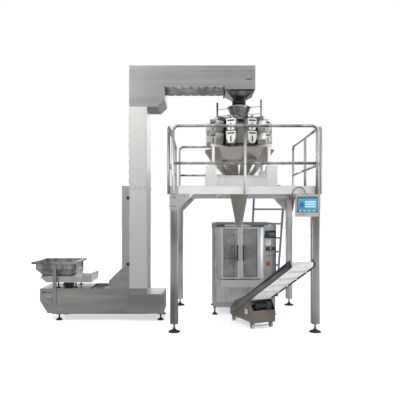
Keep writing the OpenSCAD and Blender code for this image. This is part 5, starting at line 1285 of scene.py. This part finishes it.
@dataclass
class Bagger:
    """Cabinet, doors, controls, film path and roll of the bagger."""

    door_face: float = -243.0
    column: Point = (374.0, 60.0, 590.0)

    def build(self) -> None:
        """Make door trim, controls, film and small fixings."""
        self._door_trim()
        self._controls()
        self._film()
        self._roll_core()
        self._cabinet_screws()
        self._switch_ring()

    def _door_trim(self) -> None:
        """Black grips and window seals of both doors."""
        for s, body, name in ((-1, "left_door_body", "left"), (1, "right_door_body", "right")):
            near, far = sorted((s * 31, s * 53))
            grip = Mold().block((near, -290, 838), (far, -269, 1074), 8)
            grip.piece(f"{name}_grip", USE.rubber, body, "foot_rubber")
            seal = Mold()
            xs = (46.0, 236.0)
            left, right = sorted(s * x for x in xs)
            z0, z1 = 616.0, 1294.0
            for z in (z0, z1):
                seal.block((left, -244.2, z - 3), (right, -242.6, z + 3), 0.5)
            for x in xs:
                seal.block((s * x - 3, -244.2, z0), (s * x + 3, -242.6, z1), 0.5)
            seal.piece(f"{name}_window_seal", USE.rubber, body, "foot_rubber")

    def _controls(self) -> None:
        """Screen, instruments, buttons and plates of the control column."""
        x0, y0 = self.column[0], self.column[1]
        glass = Mold().block((x0 + 14, y0 - 9.8, 1156), (550, y0 - 9.0, 1254), 0.3)
        glass.piece("control_screen_glass", USE.glass_black, ROOT, "cabinet_steel")
        picture = PanelPicture(
            "control_picture",
            (0.05, 0.06, 0.07),
            (0.02, 0.024, 0.03),
            rough=0.2,
            low=(x0 + 24, 1168),
            high=(540, 1242),
            accent=(0.02, 0.05, 0.08),
            glow=0.08,
        )
        shown = Mold().block((x0 + 24, y0 - 10.6, 1168), (540, y0 - 9.9, 1242), 0.2)
        shown.piece("control_screen_picture", picture, ROOT, "cabinet_steel")
        plate = Mold().block((x0 + 32, y0 - 3.0, 1050), (x0 + 92, y0 - 2.0, 1118), 0.4)
        plate.piece("sign_plate", USE.label, ROOT, "cabinet_steel")
        corners = [(x0 + dx, y0 - 3.0, z) for dx, z in ((44, 1074), (80, 1074), (62, 1108))]
        mark = Mold().plate(corners, (0, -1.0, 0), 0.2)
        mark.piece("sign_mark", USE.orange, ROOT, "cabinet_steel")
        rims, faces = Mold(), Mold()
        for x in (x0 + 26, x0 + 108):
            faces.block((x + 6, y0 - 9.0, 976), (x + 56, y0 - 8.2, 1012), 0.3)
            for i in range(3):
                rims.rod((x + 16 + 15 * i, y0 - 10, 965), (x + 16 + 15 * i, y0 - 8, 965), 4, 0.8, 14)
        faces.piece("instrument_faces", USE.meter, ROOT, "cabinet_steel")
        rims.piece("instrument_keys", USE.white_plastic, ROOT, "cabinet_steel")
        for i, finish in enumerate((USE.green, USE.red, USE.dark_paint, USE.dark_paint)):
            x = x0 + 34 + 38 * i
            cap = Mold().rod((x, y0 - 16, 892), (x, y0 - 10, 892), 8, 2, 24)
            cap.piece(f"button_cap_{i + 1}", finish, ROOT, "cabinet_steel")
        stop = Mold()
        frame = (
            ((37, 743), (93, 756)),
            ((37, 787), (93, 800)),
            ((37, 756), (49, 787)),
            ((81, 756), (93, 787)),
        )
        for a, b in frame:
            stop.block((x0 + a[0], y0 - 4.2, a[1]), (x0 + b[0], y0 - 3.0, b[1]), 0.3)
        stop.piece("stop_plate", USE.orange, ROOT, "red_plastic")

    def _film(self) -> None:
        """One sheet of film from the roll over its rollers to the collar, and the tube it forms."""
        path: list[Vector] = []
        roller, half = 14.6, 190.0
        centres = ((990.0, 880.0), (990.0, 1240.0), (910.0, 1323.0), (176.0, 1315.0))
        rollers = [(y, z, roller) for y, z in centres]
        stops = [(1122.0, 520.0, 170.6), *rollers, (126.0, 1258.0, 0.1)]

        def normal(a: tuple[float, float, float], b: tuple[float, float, float]) -> float:
            """Angle of the outward normal of the film between two rollers."""
            reach = math.hypot(b[0] - a[0], b[1] - a[1])
            return math.atan2(b[1] - a[1], b[0] - a[0]) - math.pi / 2 + math.asin((a[2] - b[2]) / reach)

        angles = [normal(a, b) for a, b in zip(stops, stops[1:])]
        for i, (y, z, r) in enumerate(stops):
            before = angles[i - 1] if i else angles[0]
            after = angles[i] if i < len(angles) else angles[-1]
            turn = (after - before + math.pi) % math.tau - math.pi
            steps = max(1, round(abs(turn) / 0.2))
            for k in range(steps + 1):
                a = before + turn * k / steps
                place = Vector((-half, y + r * math.cos(a), z + r * math.sin(a)))
                if not path or (place - path[-1]).length > 0.5:
                    path.append(place)
        sheet = Mold().strip(path, (2 * half, 0, 0))
        sheet.lathe((0, 0, 552), UP, [(60.7, 0.0), (61.5, 0.0), (61.5, 596.0), (60.7, 596.0)], 48)
        made = sheet.piece("film_sheet", USE.film, ROOT, "film_plastic")
        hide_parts("film_web")

    def _roll_core(self) -> None:
        """Rims of the film roll's card core."""
        core = Mold()
        for s in SIDES:
            x = s * 190.0
            core.ring((x, 1122, 520), (1, 0, 0), 41, 3, 40)
        core.piece("roll_core", USE.label, "film_roll_body", "film_plastic")

    def _cabinet_screws(self) -> None:
        """Screws on the lower cover, the side walls and the control column."""
        screws = Mold()
        for x in (-262, -130, 130, 262):
            screws.dome((x, self.door_face, 522), (0, -1, 0), 5, 2.4)
        for z in (640, 1320):
            for x in (384, 546):
                screws.dome((x, 60, z), (0, -1, 0), 4, 2)
        screws.piece("cabinet_screws", USE.machined, ROOT, "cabinet_steel")

    def _switch_ring(self) -> None:
        """Dark ring round the main switch."""
        ring = Mold().ring((556.6, 620, 1050), (1, 0, 0), 30, 2.5, 32)
        ring.piece("switch_ring", USE.dark_paint, ROOT, "cabinet_steel")


@dataclass
class TakeOffConveyor:
    """The inclined take-off conveyor, worked in its own axes and then turned into place."""

    centre: Point = (142.0, -440.0, 0.0)
    turn: float = -67.2
    slope: float = 28.5
    tail: Point = (-232.0, 0.0, 166.0)
    length: float = 1590.0
    side: float = 165.0

    def base_place(self) -> Matrix:
        """From the conveyor's own level axes to the floor."""
        return Matrix.Translation(Vector(self.centre)) @ Matrix.Rotation(math.radians(self.turn), 4, "Z")

    def bed_place(self) -> Matrix:
        """From axes along the sloping bed to the floor."""
        slope = Matrix.Rotation(-math.radians(self.slope), 4, "Y")
        return self.base_place() @ Matrix.Translation(Vector(self.tail)) @ slope

    def build(self) -> None:
        """Make bolts, bearing caps, bed edges, handle and motor fins."""
        bolts = Mold()
        for s in SIDES:
            for x in spaced(60, self.length - 60, 210):
                bolts.bolt((x, s * (self.side + 0.2), -24), (0, s, 0), 5.5)
        bolts.place(self.bed_place()).piece("bed_bolts", USE.machined, ROOT, "bed_steel")
        caps = Mold()
        for s in SIDES:
            caps.rod((self.length, s * 168, 0), (self.length, s * 182, 0), 34, 4, 32)
            caps.block((self.length - 46, s * 174 - 5, -44), (self.length + 8, s * 174 + 5, 44), 4)
        caps.place(self.bed_place()).piece("head_bearing_caps", USE.blue_cap, ROOT, "motor_paint")
        edges = Mold()
        for s in SIDES:
            edges.block((16, s * 169 - 3, 40), (self.length - 60, s * 169 + 3, 46), 1.5)
            edges.block((16, s * 169 - 3, -46), (self.length - 60, s * 169 + 3, -40), 1.5)
        edges.place(self.bed_place()).piece("bed_edges", USE.rubber, ROOT, "foot_rubber")
        pull = Mold()
        for x in (156, 204):
            pull.rod((x, -185, 196), (x, -185, 236), 4.5, 1.5, 16)
        pull.block((150, -190, 232), (210, -179.5, 242), 3).block((150, -190, 188), (210, -179.5, 198), 3)
        pull.place(self.base_place()).piece("side_pull", USE.white_plastic, ROOT, "white_plastic")
        fins = Mold()
        for y in spaced(-84, 52, 12):
            fins.lathe((250, y, 290), (0, 1, 0), [(42.0, -1.4), (47.0, -1.0), (47.0, 1.0), (42.0, 1.4)], 32)
        fins.place(self.base_place()).piece("conveyor_motor_fins", USE.motor, ROOT, "motor_paint")
        base = Mold()
        for s in SIDES:
            for x, z in ((-300, 110), (0, 110), (300, 110), (300, 225), (-300, 150), (160, 400)):
                base.bolt((x, s * 169.5, z), (0, s, 0), 6)
        base.place(self.base_place()).piece("base_bolts", USE.machined, ROOT, "conveyor_steel")


@dataclass
class Dressing:
    """Finishes of the CAD pieces themselves."""

    coats: dict[str, Finish] = field(default_factory=dict)

    def plan(self) -> None:
        """Choose a finish for every CAD piece."""
        u = USE
        self.coats = {
            "platform_legs": ZonedFinish(
                "legs_dressed", base=u.legs, zones=(Zone((-FAR, -FAR, 1545), (FAR, FAR, FAR), u.corner),)
            ),
            "platform_beams": ZonedFinish(
                "beams_dressed",
                base=u.beams,
                zones=(
                    Zone((700, -FAR, 1500), (FAR, FAR, 1762), u.corner),
                    Zone((-FAR, -FAR, 1500), (-700, FAR, 1762), u.corner),
                    Zone((846, -FAR, 1700), (FAR, FAR, FAR), u.corner),
                    Zone((-FAR, -FAR, 1700), (-846, FAR, FAR), u.corner),
                ),
            ),
            "platform_deck": u.deck, "guard_rails": u.rails, "access_ladder": u.ladder,
            "levelling_feet": u.rubber, "elevator_boot": u.boot,
            "elevator_column": u.casing, "elevator_head": u.arm, "ribbed_covers": u.cover,
            "elevator_door": ZonedFinish(
                "door_dressed", base=u.casing, zones=(Zone((-FAR, -FAR, -FAR), (FAR, -266, FAR), u.rubber),)
            ),
            "bucket_chain": u.bucket, "drive_shaft": u.machined, "tail_shaft": u.machined,
            "head_shaft": u.machined,
            "drive_motors": u.motor, "drive_guard": u.boot, "infeed_hopper": u.embossed,
            "hopper_gate": u.bright,
            "feeder_tray": u.bright, "feeder_vibrator": u.motor,
            "discharge_spout": ZonedFinish(
                "spout_dressed",
                base=u.embossed,
                zones=(Zone((-110, -110, 3107), (110, 110, 3149), u.rubber),),
            ),
            "weigher_base": u.white_box, "weigher_body": u.drum, "feeder_pans": u.bright,
            "top_cone": u.bright,
            "infeed_funnel": u.embossed, "feed_hoppers": u.facets_painted_shade, "weigh_hoppers": u.facets_painted_shade,
            "discharge_chutes": u.chute, "collecting_funnel": u.chute,
            "operator_panel": u.cabinet, "panel_cable": u.sheath,
            "bagger_frame": u.frame_paint,
            "bagger_cabinet": u.cabinet,
            "control_panel": ZonedFinish(
                "controls_dressed",
                base=u.cabinet,
                zones=(
                    Zone((370, 40, 1140), (560, 59.9, 1270), u.glass_black),
                    Zone((396, 40, 950), (548, 59.9, 1024), u.glass_black),
                    Zone((370, 40, 1040), (480, 59.9, 1130), u.label),
                    Zone((370, 40, 740), (480, 59.9, 804), u.orange),
                ),
            ),
            "left_door": u.cabinet, "right_door": u.cabinet, "left_window": u.window,
            "right_window": u.window,
            "exit_chute": u.white_plastic, "emergency_stop": u.red, "main_switch": u.red,
            "forming_tube": u.bright, "forming_collar": u.white_collar,
            "pull_belt_left": u.machined, "pull_belt_right": u.machined,
            "vertical_sealer": u.dark_paint, "front_jaw": u.machined, "rear_jaw": u.machined,
            "film_roll": u.roll, "film_web": u.film, "dancer_arm": u.bright,
            "conveyor_base": u.base, "conveyor_bed": u.bed, "conveyor_belt": u.belt,
            "head_roller": u.machined, "tail_roller": u.machined, "front_wheels": u.tyre,
            "rear_wheels": u.tyre,
        }

    def build(self) -> None:
        """Give every CAD piece its finish and soft edges."""
        self.plan()
        for piece in list(bpy.data.objects):
            finish = self.coats.get(piece.name)
            if piece.type != "MESH" or finish is None:
                continue
            material = finish.material()
            if not piece.material_slots:
                piece.data.materials.append(material)
            for slot in piece.material_slots:
                slot.material = material
            self._soften(piece)
            LOG.info("%s: dressed in %s", piece.name, finish.name)

    def _soften(self, piece: bpy.types.Object) -> None:
        """Join a CAD piece's triangles and round its sharp edges a little."""
        if piece.name in ("panel_cable", "film_web", "bucket_chain"):
            return
        weld = piece.modifiers.new("weld", "WELD")
        weld.merge_threshold = 0.00001
        bevel = piece.modifiers.new("soft_edges", "BEVEL")
        bevel.width, bevel.segments, bevel.limit_method = 0.0008, 1, "ANGLE"
        bevel.angle_limit = math.radians(50)
        bevel.use_clamp_overlap = True


def main() -> None:
    """Load the frame, build the studio and every sub-assembly, and report each."""
    logging.basicConfig(level=logging.INFO, format="%(name)s: %(message)s")
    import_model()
    parts: list[tuple[str, Callable[[], None]]] = [
        ("studio", Studio().build),
        ("panel cable", PanelCable().build),
        ("dressing", Dressing().build),
        ("platform", WorkPlatform().build),
        ("elevator", BucketElevator().build),
        ("weigher", Weigher().build),
        ("operator panel", OperatorPanel().build),
        ("bagger", Bagger().build),
        ("conveyor", TakeOffConveyor().build),
    ]
    for name, build in parts:
        build()
        LOG.info("%s is done", name)


if __name__ == "__main__":
    main()
